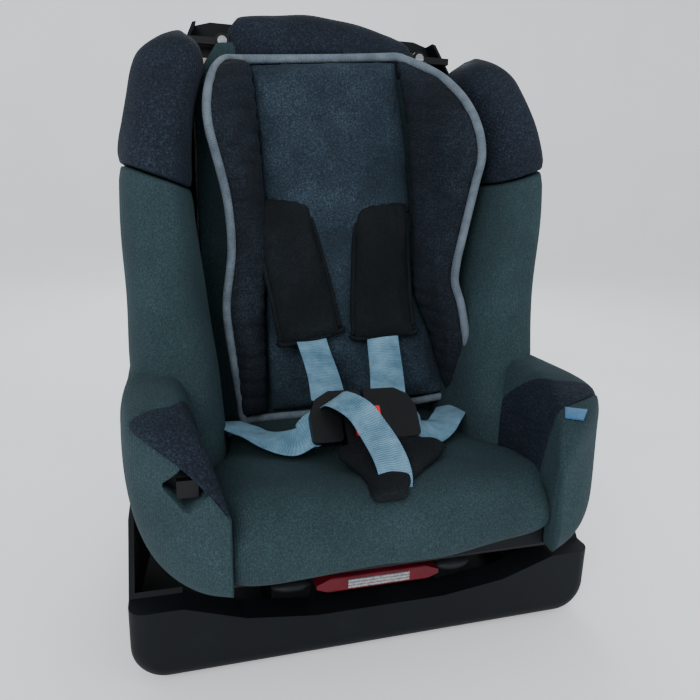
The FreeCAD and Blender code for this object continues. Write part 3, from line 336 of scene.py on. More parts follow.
def colour(code):
    """An sRGB hex colour as linear light."""
    parts = np.array([int(code[i:i + 2], 16) for i in (1, 3, 5)]) / 255
    light = np.where(parts <= 0.04045, parts / 12.92, ((parts + 0.055) / 1.055) ** 2.4)
    return (*light.tolist(), 1.0)


def add(tree, kind, settings=None, links=None):
    """A node of that kind, with its settings (properties or socket values) and its inputs' links."""
    made = tree.nodes.new(kind)
    for key, setting in (settings or {}).items():
        if isinstance(key, int) or key in made.inputs:
            made.inputs[key].default_value = setting
        else:
            setattr(made, key, setting)
    for key, source in (links or {}).items():
        tree.links.new(source, made.inputs[key])
    return made


def blank(name):
    """A new material's tree, its shader and its object coordinates in metres."""
    material = bpy.data.materials.new(name)
    material.use_nodes = True
    tree = material.node_tree
    return material, tree, tree.nodes["Principled BSDF"], add(tree, "ShaderNodeTexCoord")


def ramp(tree, factor, stops):
    """Colour ramp through (position, hex colour) stops."""
    made = add(tree, "ShaderNodeValToRGB", links={"Fac": factor})
    elements = made.color_ramp.elements
    while len(elements) < len(stops):
        elements.new(0.5)
    for element, (position, code) in zip(elements, stops):
        element.position = position
        element.color = colour(code)
    return made.outputs["Color"]


def heather(name, dark, mid, fleck, grain=1.6, wale=2.2, slope=(1, 0, 1), sheen=0.35, bump=0.5, cloud=0.5):
    """Heathered cloth: yarns of mixed tone, so noise one yarn wide sets the flecks, a slow noise the worn
    and shaded patches, and fine ribs along slope the wales or twill lines. grain and wale are in
    millimetres."""
    material, tree, shader, where = blank(name)
    place = where.outputs["Object"]
    yarn = add(tree, "ShaderNodeTexNoise", {"Scale": 1 / (grain * MM), "Detail": 3, "Roughness": 0.75},
               {"Vector": place})
    patch = add(tree, "ShaderNodeTexNoise", {"Scale": 14, "Detail": 3, "Roughness": 0.6}, {"Vector": place})
    blend = add(tree, "ShaderNodeMath", {"operation": "MULTIPLY_ADD", 1: cloud, 2: -cloud / 2},
                {0: patch.outputs["Fac"]})
    tone = add(tree, "ShaderNodeMath", {"operation": "ADD"}, {0: yarn.outputs["Fac"], 1: blend.outputs[0]})
    tree.links.new(ramp(tree, tone.outputs[0], ((0.3, dark), (0.52, mid), (0.74, fleck))),
                   shader.inputs["Base Color"])
    turn = add(tree, "ShaderNodeVectorMath", {"operation": "DOT_PRODUCT", 1: slope}, {0: place})
    length = math.sqrt(sum(part * part for part in slope))
    line = add(tree, "ShaderNodeMath", {"operation": "MULTIPLY", 1: 2 * math.pi / (wale * MM * length)},
               {0: turn.outputs["Value"]})
    rib = add(tree, "ShaderNodeMath", {"operation": "SINE"}, {0: line.outputs[0]})
    height = add(tree, "ShaderNodeMath", {"operation": "MULTIPLY_ADD", 1: 0.25}, {0: rib.outputs[0],
                                                                              2: yarn.outputs["Fac"]})
    raised = add(tree, "ShaderNodeBump", {"Strength": bump, "Distance": 0.0006},
                 {"Height": height.outputs[0]})
    tree.links.new(raised.outputs["Normal"], shader.inputs["Normal"])
    shader.inputs["Roughness"].default_value = 0.92
    shader.inputs["Specular IOR Level"].default_value = 0.2
    shader.inputs["Sheen Weight"].default_value = sheen
    shader.inputs["Sheen Roughness"].default_value = 0.5
    shader.inputs["Sheen Tint"].default_value = colour(fleck)
    return material


def teal_knit():
    """Polyester jersey of the main cover: matt, dark blue-green, with lighter and darker yarns mixed."""
    return heather("polyester_jersey_teal", "#1b282c", "#26373b", "#344a50", grain=1.5, wale=2.0,
                   slope=(1, 0, 0), sheen=0.12, cloud=0.3)


def navy_denim():
    """Cotton-blend denim panels: near-black navy ground with pale slub flecks and a diagonal twill."""
    return heather("slub_denim_navy", "#0c1016", "#151c26", "#2c3846", grain=2.0, wale=2.6, bump=0.6,
                   sheen=0.1, cloud=0.3)


def insert_denim():
    """Lighter blue-grey denim of the infant pad, faded where it is rubbed."""
    return heather("washed_denim_blue", "#131b22", "#212d37", "#3a4a56", grain=1.8, wale=2.4, bump=0.6,
                   sheen=0.12, cloud=0.5)


def shaded_insert_denim():
    """Same cloth as the infant pad, made darker for the side panels: painted shade, since they curl forward
    over the wings.
    """
    return heather("washed_denim_painted_shade", "#0b0e13", "#131920", "#28323d", grain=1.8, wale=2.4, bump=0.6,
                   sheen=0.1, cloud=0.5)


def woven(name, dark, light, rib=2.4, rough=0.6, sheen=0.2, bump=0.6):
    """Webbing and tape: ribs across the strap and a fine herringbone between them, from the strap's own
    laid-out lengths. Threads of 0.4 mm are drawn as ribs rib millimetres apart, because finer ones don't
    show."""
    material, tree, shader, where = blank(name)
    split = add(tree, "ShaderNodeSeparateXYZ", links={"Vector": where.outputs["UV"]})
    across = add(tree, "ShaderNodeMath", {"operation": "MULTIPLY", 1: 2 * math.pi / (3.2 * MM)},
                 {0: split.outputs["X"]})
    zigzag = add(tree, "ShaderNodeMath", {"operation": "SINE"}, {0: across.outputs[0]})
    slant = add(tree, "ShaderNodeMath", {"operation": "MULTIPLY", 1: 1.1}, {0: zigzag.outputs[0]})
    along = add(tree, "ShaderNodeMath", {"operation": "MULTIPLY_ADD", 1: 2 * math.pi / (rib * MM)},
                {0: split.outputs["Y"], 2: slant.outputs[0]})
    wave = add(tree, "ShaderNodeMath", {"operation": "SINE"}, {0: along.outputs[0]})
    noise = add(tree, "ShaderNodeTexNoise", {"Scale": 60, "Detail": 4, "Roughness": 0.6},
                {"Vector": where.outputs["Object"]})
    tone = add(tree, "ShaderNodeMath", {"operation": "MULTIPLY_ADD", 1: 0.1},
               {0: wave.outputs[0], 2: noise.outputs["Fac"]})
    tree.links.new(ramp(tree, tone.outputs[0], ((0.25, dark), (0.75, light))), shader.inputs["Base Color"])
    raised = add(tree, "ShaderNodeBump", {"Strength": bump, "Distance": 0.0004}, {"Height": wave.outputs[0]})
    tree.links.new(raised.outputs["Normal"], shader.inputs["Normal"])
    shader.inputs["Roughness"].default_value = rough
    shader.inputs["Sheen Weight"].default_value = sheen
    shader.inputs["Sheen Roughness"].default_value = 0.4
    return material


def harness_webbing():
    """Polyester harness webbing: pale blue-grey, slightly shiny, ribbed across."""
    return woven("polyester_webbing_blue", "#3f657c", "#6c97ae", sheen=0.1)


def binding_tape():
    """Grosgrain binding round the infant pad: mid grey, matt, fine cross ribs."""
    return woven("grosgrain_tape_grey", "#434f5b", "#67747f", rib=1.8, rough=0.8, sheen=0.1)


def nylon_quilt():
    """Black nylon cloth of the shoulder and crotch pads: plain weave with a faint gloss."""
    return heather("nylon_plain_weave_black", "#06090b", "#0c1115", "#1c242a", grain=1.2, wale=1.8,
                   slope=(1, 0, 0.2), sheen=0.12, bump=0.35)


def moulded(name, dark, light, rough, grain=0.9, strength=0.25, wear=0.04, specular=0.5):
    """Injection-moulded plastic: fine spark-eroded grain, and uneven tone and gloss where hands rub it."""
    material, tree, shader, where = blank(name)
    place = where.outputs["Object"]
    skin = add(tree, "ShaderNodeTexNoise", {"Scale": 1 / (grain * MM), "Detail": 2, "Roughness": 0.6},
               {"Vector": place})
    rub = add(tree, "ShaderNodeTexNoise", {"Scale": 22, "Detail": 5, "Roughness": 0.65}, {"Vector": place})
    tree.links.new(ramp(tree, rub.outputs["Fac"], ((0.35, dark), (0.7, light))), shader.inputs["Base Color"])
    gloss = add(tree, "ShaderNodeMapRange", {"To Min": rough - wear * 2, "To Max": rough + wear * 2},
                {"Value": rub.outputs["Fac"]})
    tree.links.new(gloss.outputs["Result"], shader.inputs["Roughness"])
    raised = add(tree, "ShaderNodeBump", {"Strength": strength, "Distance": 0.0003},
                 {"Height": skin.outputs["Fac"]})
    tree.links.new(raised.outputs["Normal"], shader.inputs["Normal"])
    shader.inputs["IOR"].default_value = 1.49
    shader.inputs["Specular IOR Level"].default_value = specular
    return material


def zinc_steel():
    """Zinc-plated mild steel: grey, satin, with rolling streaks along X."""
    material, tree, shader, where = blank("zinc_plated_steel")
    stretch = add(tree, "ShaderNodeMapping", {"Scale": (0.05, 1, 1)}, {"Vector": where.outputs["Object"]})
    streak = add(tree, "ShaderNodeTexNoise", {"Scale": 900, "Detail": 3},
                 {"Vector": stretch.outputs["Vector"]})
    tree.links.new(ramp(tree, streak.outputs["Fac"], ((0.3, "#7b7e80"), (0.7, "#a9adb0"))),
                   shader.inputs["Base Color"])
    gloss = add(tree, "ShaderNodeMapRange", {"To Min": 0.28, "To Max": 0.45},
                {"Value": streak.outputs["Fac"]})
    tree.links.new(gloss.outputs["Result"], shader.inputs["Roughness"])
    shader.inputs["Metallic"].default_value = 1.0
    return material


def foot_rubber():
    """Moulded nitrile rubber: soft black, no gloss, a pitted skin."""
    return moulded("nitrile_rubber", "#0b0b0c", "#151516", 0.85, grain=1.4, strength=0.5)


def open_foam():
    """Open-cell polyurethane foam: cream, full of cells a millimetre or two wide, each darker towards its
    middle as painted shade in the open pore.
    """
    material, tree, shader, where = blank("polyurethane_foam")
    cells = add(tree, "ShaderNodeTexVoronoi", {"Scale": 600}, {"Vector": where.outputs["Object"]})
    # darker where the cells are deepest: painted shade in the pores
    tree.links.new(ramp(tree, cells.outputs["Distance"], ((0.1, "#8d8a78"), (0.6, "#c9c5b0"))),
                   shader.inputs["Base Color"])
    raised = add(tree, "ShaderNodeBump", {"Strength": 0.7, "Distance": 0.001},
                 {"Height": cells.outputs["Distance"]})
    tree.links.new(raised.outputs["Normal"], shader.inputs["Normal"])
    shader.inputs["Roughness"].default_value = 0.95
    return material


def label_film():
    """Printed polyester film on the handle: silver-grey, satin, with plain paler bands and no writing."""
    material, tree, shader, where = blank("polyester_film_grey")
    split = add(tree, "ShaderNodeSeparateXYZ", links={"Vector": where.outputs["Object"]})
    line = add(tree, "ShaderNodeMath", {"operation": "MULTIPLY", 1: 2 * math.pi / (3.0 * MM)},
               {0: split.outputs["Z"]})
    band = add(tree, "ShaderNodeMath", {"operation": "SINE"}, {0: line.outputs[0]})
    grain = add(tree, "ShaderNodeTexNoise", {"Scale": 420, "Detail": 3}, {"Vector": where.outputs["Object"]})
    tone = add(tree, "ShaderNodeMath", {"operation": "MULTIPLY_ADD", 1: 0.18},
               {0: band.outputs[0], 2: grain.outputs["Fac"]})
    tree.links.new(ramp(tree, tone.outputs[0], ((0.35, "#5e5e62"), (0.7, "#a2a2a5"))),
                   shader.inputs["Base Color"])
    shader.inputs["Roughness"].default_value = 0.4
    return material


def floor_paint():
    """Matt white paint with a barely uneven surface, lit up a little so that the studio behind reads as
    white."""
    material, tree, shader, where = blank("matt_paint_white")
    uneven = add(tree, "ShaderNodeTexNoise", {"Scale": 3, "Detail": 4}, {"Vector": where.outputs["Object"]})
    tree.links.new(ramp(tree, uneven.outputs["Fac"], ((0.3, "#eef0f2"), (0.7, "#f5f6f7"))),
                   shader.inputs["Base Color"])
    shader.inputs["Roughness"].default_value = 0.9
    shader.inputs["Emission Color"].default_value = colour("#f4f6f8")
    shader.inputs["Emission Strength"].default_value = 0.22
    return material


# --- The cover ---------------------------------------------------------------------------------------------

def wing_bounds(height):
    """Inner x, outer x, front y and back y of a wing at a height, for the right-hand side."""
    inner = law(((140, 126), (200, 129), (280, 137), (360, 148), (420, 153), (480, 150), (530, 139),
                 (552, 141), (563, 150), (569, 158)), height)
    outer = law(((140, 214), (248, 221), (370, 222), (430, 220), (470, 215), (500, 211), (525, 208),
                 (543, 202), (556, 188), (564, 176), (569, 162)), height)
    front = law(((140, -122), (165, -114), (207, -95), (250, -78), (300, -68), (400, -66), (450, -60),
                 (500, -45), (545, -14), (560, 6), (569, 24)), height)
    back = law(((140, 70), (300, 88), (500, 92), (550, 88), (569, 60)), height)
    return inner, outer, front, back


def wing_seam(side):
    """Height at which the denim top of a wing meets the knit below, at the wing's inner edge."""
    return 424 + 6 * side


def wing_grid(side, low, high, rows, columns=72):
    """Wing between two heights: each row is a rounded box in plan, and rows near the seam tilt up outwards
    by a third of a millimetre per millimetre, as the seam does."""
    height = np.linspace(low, high, rows)[:, None]
    inner, outer, front, back = wing_bounds(height)
    turn = np.linspace(0, 2 * math.pi, columns, endpoint=False)[None]
    power = 2 / 2.7
    x = (inner + outer) / 2 + (outer - inner) / 2 * np.sign(np.cos(turn)) * np.abs(np.cos(turn)) ** power
    y = (front + back) / 2 + (back - front) / 2 * np.sign(np.sin(turn)) * np.abs(np.sin(turn)) ** power
    tilt = 0.33 * np.exp(-((height - wing_seam(side)) / 55) ** 2)
    z = height + tilt * (x - 155)
    return np.stack([side * x, y, z], axis=-1)


def tucked(grid, depth, rows):
    """Draws the first and last rows in towards the middle of their row, as at a seam."""
    count = len(grid)
    row = np.arange(count)
    near = np.minimum(row, count - 1 - row) / rows
    pull = depth * np.sqrt(np.clip(1 - near, 0, 1))[:, None, None]
    middle = grid.mean(axis=1, keepdims=True)
    out = grid - middle
    reach = np.linalg.norm(out[..., :2], axis=-1, keepdims=True)
    return middle + out * (1 - pull / np.maximum(reach, 8))


def wings(knit, denim):
    """The four wing pieces: knit below the seam and denim above, drawn in at the seam, each surface moved
    along its normals by a slow ripple as padded cloth lies."""
    for word, side in SIDES.items():
        seam = wing_seam(side)
        lower = grid_mesh("wing_cover_" + word + "_knit", tucked(wing_grid(side, 140, seam, 66), 2.2, 2.5))
        upper = grid_mesh("wing_cover_" + word + "_denim", tucked(wing_grid(side, seam, 569, 46), 2.2, 2.5))
        for piece, material, slot, seed in ((lower, knit, "cover_teal", 3), (upper, denim, "denim_navy", 7)):
            moved(piece, lambda places, normals: normals * (1.1 * ripple(places, seed, 95))[:, None])
            smoothed(piece)
            fabric(piece, material)
        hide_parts("wing_cover_" + word)


def fabric(piece, material):
    """Gives a soft piece of the seat its cloth and its place on the seat."""
    piece.data.materials.clear()
    piece.data.materials.append(material)
    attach(piece, "seat")
    return piece


ARM_OUTER = ((223, 72), (224, 0), (225, -90), (223, -142), (214, -180), (192, -209), (166, -229),
             (141, -241))
ARM_FOOT = ((221, 72), (221, 0), (221, -90), (220, -138), (213, -180), (196, -214), (170, -236), (141, -245))
ARM_INNER = ((150, 72), (150, 0), (150, -90), (149, -134), (147, -164), (144, -192), (141, -214),
             (139, -231))
ARM_TOP = {-1: ((0, 246), (0.3, 247), (0.55, 247), (0.66, 246), (0.76, 240), (0.86, 224),
                (0.94, 201), (1.0, 178)),
           1: ((0, 246), (0.3, 247), (0.55, 247), (0.66, 247), (0.76, 244), (0.86, 236),
               (0.94, 219), (1.0, 192))}
ARM_BASE = ((0, 106), (0.5, 102), (0.8, 102), (1.0, 113))
ARM_SECTION = ((1, 0.78), (0.99, 0.9), (0.93, 0.97), (0.75, 1), (0.45, 1), (0.33, 0.975), (0.25, 0.91),
               (0.16, 0.76), (0.07, 0.55), (0, 0.35), (0, 0.12), (0.08, 0.02), (0.3, 0), (0.58, 0.02),
               (0.8, 0.12), (0.93, 0.28), (0.99, 0.5))


def arm_surface(side, share, turn):
    """Points of an arm rest: share runs from its back forward and in round the front corner, turn once
    round its section from the outer top edge over the top and down the inside. Plan curves for the inside,
    the outside and the outside near the bottom bound every section."""
    outer, foot, inner = through(ARM_OUTER, 200), through(ARM_FOOT, 200), through(ARM_INNER, 200)
    ring = through(ARM_SECTION, 240, loop=True)
    ring = np.vstack([ring, ring[:1]])
    along = np.linspace(0, 1, 200)
    share, turn = np.broadcast_arrays(share, turn)
    across, up = (np.interp(turn % 1, np.linspace(0, 1, 241), ring[:, axis]) for axis in (0, 1))
    rise = ease(0.15, 0.8, up)
    x, y = (np.interp(share, along, inner[:, axis]) * (1 - across)
            + (np.interp(share, along, foot[:, axis]) * (1 - rise)
               + np.interp(share, along, outer[:, axis]) * rise) * across for axis in (0, 1))
    low, high = law(ARM_BASE, share), law(ARM_TOP[side], share)
    return np.stack([side * x, y, low + (high - low) * up], axis=-1)


PATCH_EDGE = {-1: ((0.3, 0.045), (0.5, 0.045), (0.7, 0.045), (0.85, 0.06), (0.94, 0.09), (1.0, 0.13)),
              1: ((0.3, 0.045), (0.6, 0.045), (0.7, 0.05), (0.78, 0.09), (0.84, 0.17), (0.885, 0.3))}
PATCH_FRONT = {-1: 0.995, 1: 0.885}


def patch_bounds(side, share):
    """Where the denim panel's outer and inner edges lie round the section. The outer edge climbs from the
    outside onto the ridge as the panel narrows towards its front: to a tip on the left, to an upright seam
    on the right."""
    return law(PATCH_EDGE[side], share), 0.46


def patch_back(across):
    """Share of the arm's length where the panel starts: its rear edge runs back from the outside to the
    inside."""
    return 0.7 - 0.2 * ease(0.35, 0.8, across)


def arm_heart(side, share):
    """Line down the middle of an arm."""
    return (arm_surface(side, share, 0.13) + arm_surface(side, share, 0.62)) / 2


def arms(knit, denim):
    """Both arm rests: the knit sleeve, sunk under its denim panel and notched at the panel's outer seam,
    and the panel over it. The notch is a Gaussian of the distance from the seam."""
    for word, side in SIDES.items():
        share = np.linspace(0, 1, 130)[:, None]
        turn = np.linspace(0, 1, 140, endpoint=False)[None]
        body = arm_surface(side, share, turn)
        start, end = patch_bounds(side, share)
        across = np.clip((turn - start) / (end - start), 0, 1)
        ahead = np.minimum(share - patch_back(across), PATCH_FRONT[side] - share)
        under = ease(0.0, 0.012, turn - start) * ease(0.0, 0.02, end - turn) * ease(0.0, 0.015, ahead)
        rim = np.exp(-((turn - start) / 0.008) ** 2) * ease(0, 0.02, ahead)
        sunk, notch = 3.4, 1.6
        body = body - unit(body - arm_heart(side, share)) * (sunk * under + notch * rim)[..., None]
        arm = grid_mesh("arm_cover_" + word + "_knit", body)
        if side < 0:
            arm = hook_opening(arm)
        moved(arm, lambda places, normals: normals * (0.9 * ripple(places, 11, 80))[:, None])
        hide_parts("arm_cover_" + word)
        fabric(arm, knit)
        patch = grid_mesh("arm_panel_" + word, denim_panel(side))
        moved(patch, lambda places, normals: normals * (0.4 * ripple(places, 5, 45))[:, None])
        smoothed(patch)
        fabric(patch, denim)


def denim_panel(side):
    """Denim panel sewn over the arm's top and inner face: proud in its middle and sunk at its edges."""
    across = np.linspace(0, 1, 60)[None]
    back = patch_back(across)
    share = back + (PATCH_FRONT[side] - back) * np.linspace(0, 1, 90)[:, None]
    start, end = patch_bounds(side, share)
    face = arm_surface(side, share, start + (end - start) * across)
    out = unit(face - arm_heart(side, share))
    edge = (2 * across - 1)[..., None]
    along = np.linspace(-1, 1, 90)[:, None, None]
    puff = (1 - edge**10) * (1 - along**24)
    return np.concatenate([face + out * (1.9 * puff - 1.2), (face - out * 3.0)[:, ::-1]], axis=1)


def hook_opening(arm):
    """Cuts the diamond-shaped opening into the left arm's front, where the cover is turned in round the
    hook."""
    low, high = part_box("belt_hook")
    height = (low.z + high.z) / 2 / MM
    half, middle = 19.0, -172
    ring = np.array(((middle - half, height), (middle, height - half), (middle + half, height),
                     (middle, height + half)))
    grid = np.stack([np.column_stack([ring[:, 0], np.full(4, at), ring[:, 1]]) for at in (-262, -197)])
    cutter = grid_mesh("opening", grid)
    bevel = cutter.modifiers.new("round", "BEVEL")
    bevel.width = 4 * MM
    bevel.segments = 4
    baked(cutter)
    hole = arm.modifiers.new("hole", "BOOLEAN")
    hole.object = cutter
    hole.solver = "EXACT"
    baked(arm)
    bpy.data.objects.remove(cutter)
    return arm


def cushion(knit):
    """Seat cushion: a side-on outline carried across the seat, bowed forward in the middle, its sides drawn
    in where it is sewn to the arms."""
    outline = through(((66, 108), (66, 150), (0, 158), (-80, 164), (-150, 171), (-200, 175), (-228, 170),
                       (-243, 156), (-248, 138), (-245, 126), (-237, 120), (-226, 119), (-215, 121),
                       (-100, 115), (20, 112)), 110, loop=True)
    across = np.linspace(-1, 1, 90)[:, None]
    depth, height = outline[None, :, 0], outline[None, :, 1]
    forward = np.clip(-depth, 0, 247) / 247
    half = 134 + 27 * ease(0.25, 0.62, forward) - 20 * ease(0.78, 0.97, forward)
    x = across * half
    edge = np.abs(across) ** 14
    y = depth + 8 * (x / 140) ** 2 * forward + edge * 6 * (forward > 0.85)
    z = height - (height - outline[:, 1].mean()) * 0.16 * edge
    dip = 6 * np.exp(-((y + 128) / 50) ** 2 - (x / 55) ** 2) * (height > 150)
    sag = (1 + 8 * x / 140) * ease(150, 125, height) * forward
    pad = grid_mesh("cushion_knit", np.stack([x, y, z - dip + sag], axis=-1))
    swollen(pad, 3.0, voxel=5.0)
    moved(pad, lambda places, normals: normals * (1.2 * ripple(places, 21, 90))[:, None])
    smoothed(pad)
    fabric(pad, knit)
    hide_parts("cushion_cover")


def back_panels(knit, denim):
    """Knit panel of the back between the wings, and the denim hood over the top of the shell. The hood is
    one side-on outline carried across the seat, its height above the shell scaled by a curve across it."""
    left = ((-141, 34, 150), (-143, 44, 250), (-146, 56, 400), (-144, 66, 520), (-120, 76, 572))
    right = [(-x, y, z) for x, y, z in left]
    panel = grid_mesh("back_cover_knit", pillow(left, right, 16, rows=90, crown=-6, ends=20))
    moved(panel, lambda places, normals: normals * (1.0 * ripple(places, 31, 90))[:, None])
    smoothed(panel)
    fabric(panel, knit)
    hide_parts("back_cover")

    across = np.linspace(-1, 1, 80)[:, None]
    section = through(((64, 541), (68, 585), (82, 612), (112, 620), (145, 614), (154, 592), (153, 564),
                       (140, 556), (100, 545)), 72, loop=True)
    x = 2 + across * 107
    top = law(((-112, 598), (-96, 603), (-55, 608), (-12, 611), (40, 607), (78, 599), (98, 592), (112, 580)),
              x)
    z = 545 + (section[None, :, 1] - 545) * (top - 545) / 75
    y = section[None, :, 0] + 4 * across**2
    hood = grid_mesh("head_panel_denim", tucked(np.stack(np.broadcast_arrays(x, y, z), axis=-1), 4, 3))
    swollen(hood, 3.0, voxel=5.0)
    moved(hood, lambda places, normals: normals * (0.9 * ripple(places, 41, 60))[:, None])
    smoothed(hood)
    fabric(hood, denim)
    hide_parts("head_panel")


# --- The infant pad ----------------------------------------------------------------------------------------

PAD_LEFT = ((-104, 12, 165), (-111, 12, 213), (-119, 10, 270), (-121, 6, 303), (-115, 4, 356),
            (-119, -2, 408), (-131, -14, 455), (-138, -16, 487), (-133, 2, 522), (-119, 36, 547))
SEAM_LEFT = ((-74, 22, 165), (-77, 28, 213), (-79, 33, 262), (-79, 36, 300), (-78, 40, 354), (-81, 43, 408),
             (-84, 46, 458), (-87, 48, 495), (-90, 50, 530), (-91, 51, 551))
SEAM_RIGHT = ((139, -8, 186), (132, 8, 222), (122, 22, 262), (107, 33, 303), (103, 37, 345), (100, 40, 385),
              (94, 43, 440), (90, 46, 480), (82, 49, 525), (74, 52, 566))
PAD_RIGHT = ((143, -26, 190), (148, -36, 222), (140, -40, 262), (132, -38, 300), (124, -33, 330),
             (128, -34, 366), (137, -38, 425), (140, -44, 466), (131, -27, 508), (112, 12, 544),
             (80, 46, 565))


def creases(places, seed):
    """Shallow pulls in the quilt: short dents where the ripple crosses nought."""
    wave = ripple(places, seed, 62)
    return -1.5 * np.exp(-(wave / 0.09) ** 2) * ease(0.0, 0.5, ripple(places, seed + 1, 120))


def infant_pad(cloth, shaded_cloth, tape):
    """The infant pad: three pillows between its seams, the side ones with sewn ribs across them and their
    cloth made darker as painted shade, and a bound edge. A rib's groove is a Gaussian of a sine of the
    height, so it comes round every 17 mm."""
    spacing, depth = 17, 2.2
    middle = grid_mesh("insert_middle", pillow(SEAM_LEFT, SEAM_RIGHT, 22, rows=90, columns=90, crown=4,
                                               ends=24))
    left = grid_mesh("insert_side_left", pillow(PAD_LEFT, SEAM_LEFT, 24, rows=90, columns=50, crown=3,
                                                ends=24))
    right = grid_mesh("insert_side_right", pillow(SEAM_RIGHT, PAD_RIGHT, 24, rows=90, columns=50, crown=3,
                                                  ends=24))
    for pad, cap, seed in ((middle, 3.5, 51), (left, 3.0, 61), (right, 3.0, 71)):
        swollen(pad, cap, voxel=4.5, pressure=4)
        moved(pad, lambda places, normals: normals * creases(places, seed)[:, None])
        if pad is not middle:
            moved(pad, lambda places, normals: normals * (-depth * np.exp(
                -(np.sin(math.pi * places[:, 2:] / spacing + ripple(places, 9, 70)[:, None]) / 0.3) ** 2)))
        smoothed(pad)
        # the side pillows take the darker copy of the cloth: painted shade
        fabric(pad, cloth if pad is middle else shaded_cloth)
    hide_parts("infant_insert")
    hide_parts("insert_bolsters")
    top = ((-119, 36, 547), (-91, 51, 552), (0, 53, 560), (74, 52, 567), (80, 46, 565))
    bottom = ((143, -26, 190), (139, -8, 186), (60, 8, 172), (-74, 20, 163), (-104, 12, 165))
    rim = np.vstack([through(PAD_LEFT, 60), through(top, 40)[1:-1], through(PAD_RIGHT, 60)[::-1],
                     through(bottom, 44)[1:-1]])
    rim = through(rim[::3], 260, loop=True)
    centre = np.array([10.0, 30.0, 365.0])
    binding = tube(rim, 9, 8, rim - centre, "insert_binding")
    fabric(binding, tape)


# --- Harness -----------------------------------------------------------------------------------------------

ACROSS = (1, 0, 0)
SHOULDER = {"left": [((-50, 84, 416), ACROSS), ((-50, 52, 416), ACROSS), ((-54, 36, 408), ACROSS),
                     ((-51, 22, 360), ACROSS), ((-42, 14, 310), (1, 0, -0.15)),
                     ((-31, -4, 262), (1, 0, -0.2)), ((-27, -50, 232), (1, 0, -0.15)),
                     ((-31, -93, 217), (1, 0, -0.1))],
            "right": [((50, 84, 416), ACROSS), ((50, 52, 416), ACROSS), ((54, 36, 408), ACROSS),
                      ((54, 22, 360), ACROSS), ((54, 12, 310), ACROSS), ((52, -6, 262), (1, 0, 0.1)),
                      ((43, -50, 232), (1, 0, 0.2)), ((31, -93, 217), (1, 0, 0.1))]}


def quilted(name, route, top, bottom, thick, material):
    """Shoulder pad: a padded sleeve along the strap, quilted in lengthwise channels and bound at its rim."""
    rows, columns = 110, 72
    centres = through([centre for centre, across in route], rows)
    across = through([across for centre, across in route], rows)
    along = unit(np.gradient(centres, axis=0))
    across = unit(across - along * (across * along).sum(1, keepdims=True))
    face = np.cross(along, across)
    face = np.where(face[:, 1:2] > 0, -face, face)
    turn = np.linspace(0, 2 * math.pi, columns, endpoint=False)
    wide = np.sign(np.cos(turn)) * np.abs(np.cos(turn)) ** 0.55
    deep = np.sign(np.sin(turn)) * np.abs(np.sin(turn)) ** 0.6
    row = np.linspace(0, 1, rows)[:, None]
    width = (top + (bottom - top) * row) * (1 - 0.10 * np.abs(2 * row - 1) ** 10)
    taper = np.sqrt(np.clip(1 - np.abs(2 * row - 1) ** 30, 0, 1)) * 0.9 + 0.1
    places = (centres[:, None] + across[:, None] * (wide * width / 2)[..., None]
              + face[:, None] * (deep * thick / 2 * taper)[..., None])
    pad = grid_mesh(name, places, flat=(0.16, 0.17))
    swollen(pad, 2.0, voxel=4.0, pressure=3)

    def channels(places, normals):
        """Lengthwise grooves 1.3 mm deep, two fifths of the half width apart."""
        nearest = np.argmin(((places[:, None] - centres[None, ::4]) ** 2).sum(-1), axis=1) * 4
        offset = ((places - centres[nearest]) * across[nearest]).sum(-1)
        share = offset / (width[nearest, 0] / 2)
        lines = np.abs(((share + 1) * 2.5) % 1 - 0.5) * 2
        groove = 1.3 * np.exp(-((1 - lines) / 0.12) ** 2) * (np.abs(share) < 0.85)
        return -normals * groove[:, None]

    moved(pad, channels)
    smoothed(pad)
    fabric(pad, material)
    rim_half = width[:, 0] / 2 - 1.0
    edge = np.vstack([centres + across * rim_half[:, None], (centres - across * rim_half[:, None])[::-1]])
    edge = through(edge[3:-3:6], 170, loop=True)
    binding = tube(edge, 5.5, 6.5, edge - centres.mean(axis=0), name + "_binding", sides=12)
    fabric(binding, material)
    return pad


def shoulder_pads(material):
    """Both pads, each over the strap's own course from its slot to above the buckle."""
    for word, bottom_x in (("left", -30), ("right", 54)):
        side = SIDES[word]
        route = [((side * 56, 34, 411), ACROSS), ((side * 55, 24, 380), ACROSS),
                 ((side * 55 + (bottom_x - side * 55) * 0.35, 17, 340), ACROSS),
                 ((side * 55 + (bottom_x - side * 55) * 0.75, 8, 296), (1, 0, 0.18 * side)),
                 ((bottom_x, -6, 258), (1, 0, 0.26 * side))]
        pad = quilted("shoulder_pad_" + word + "_quilt", route, 62, 74, 15, material)
        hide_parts("shoulder_pad_" + word)


STRAP_WIDTH, ADJUSTER_WIDTH = 36.0, 30.0


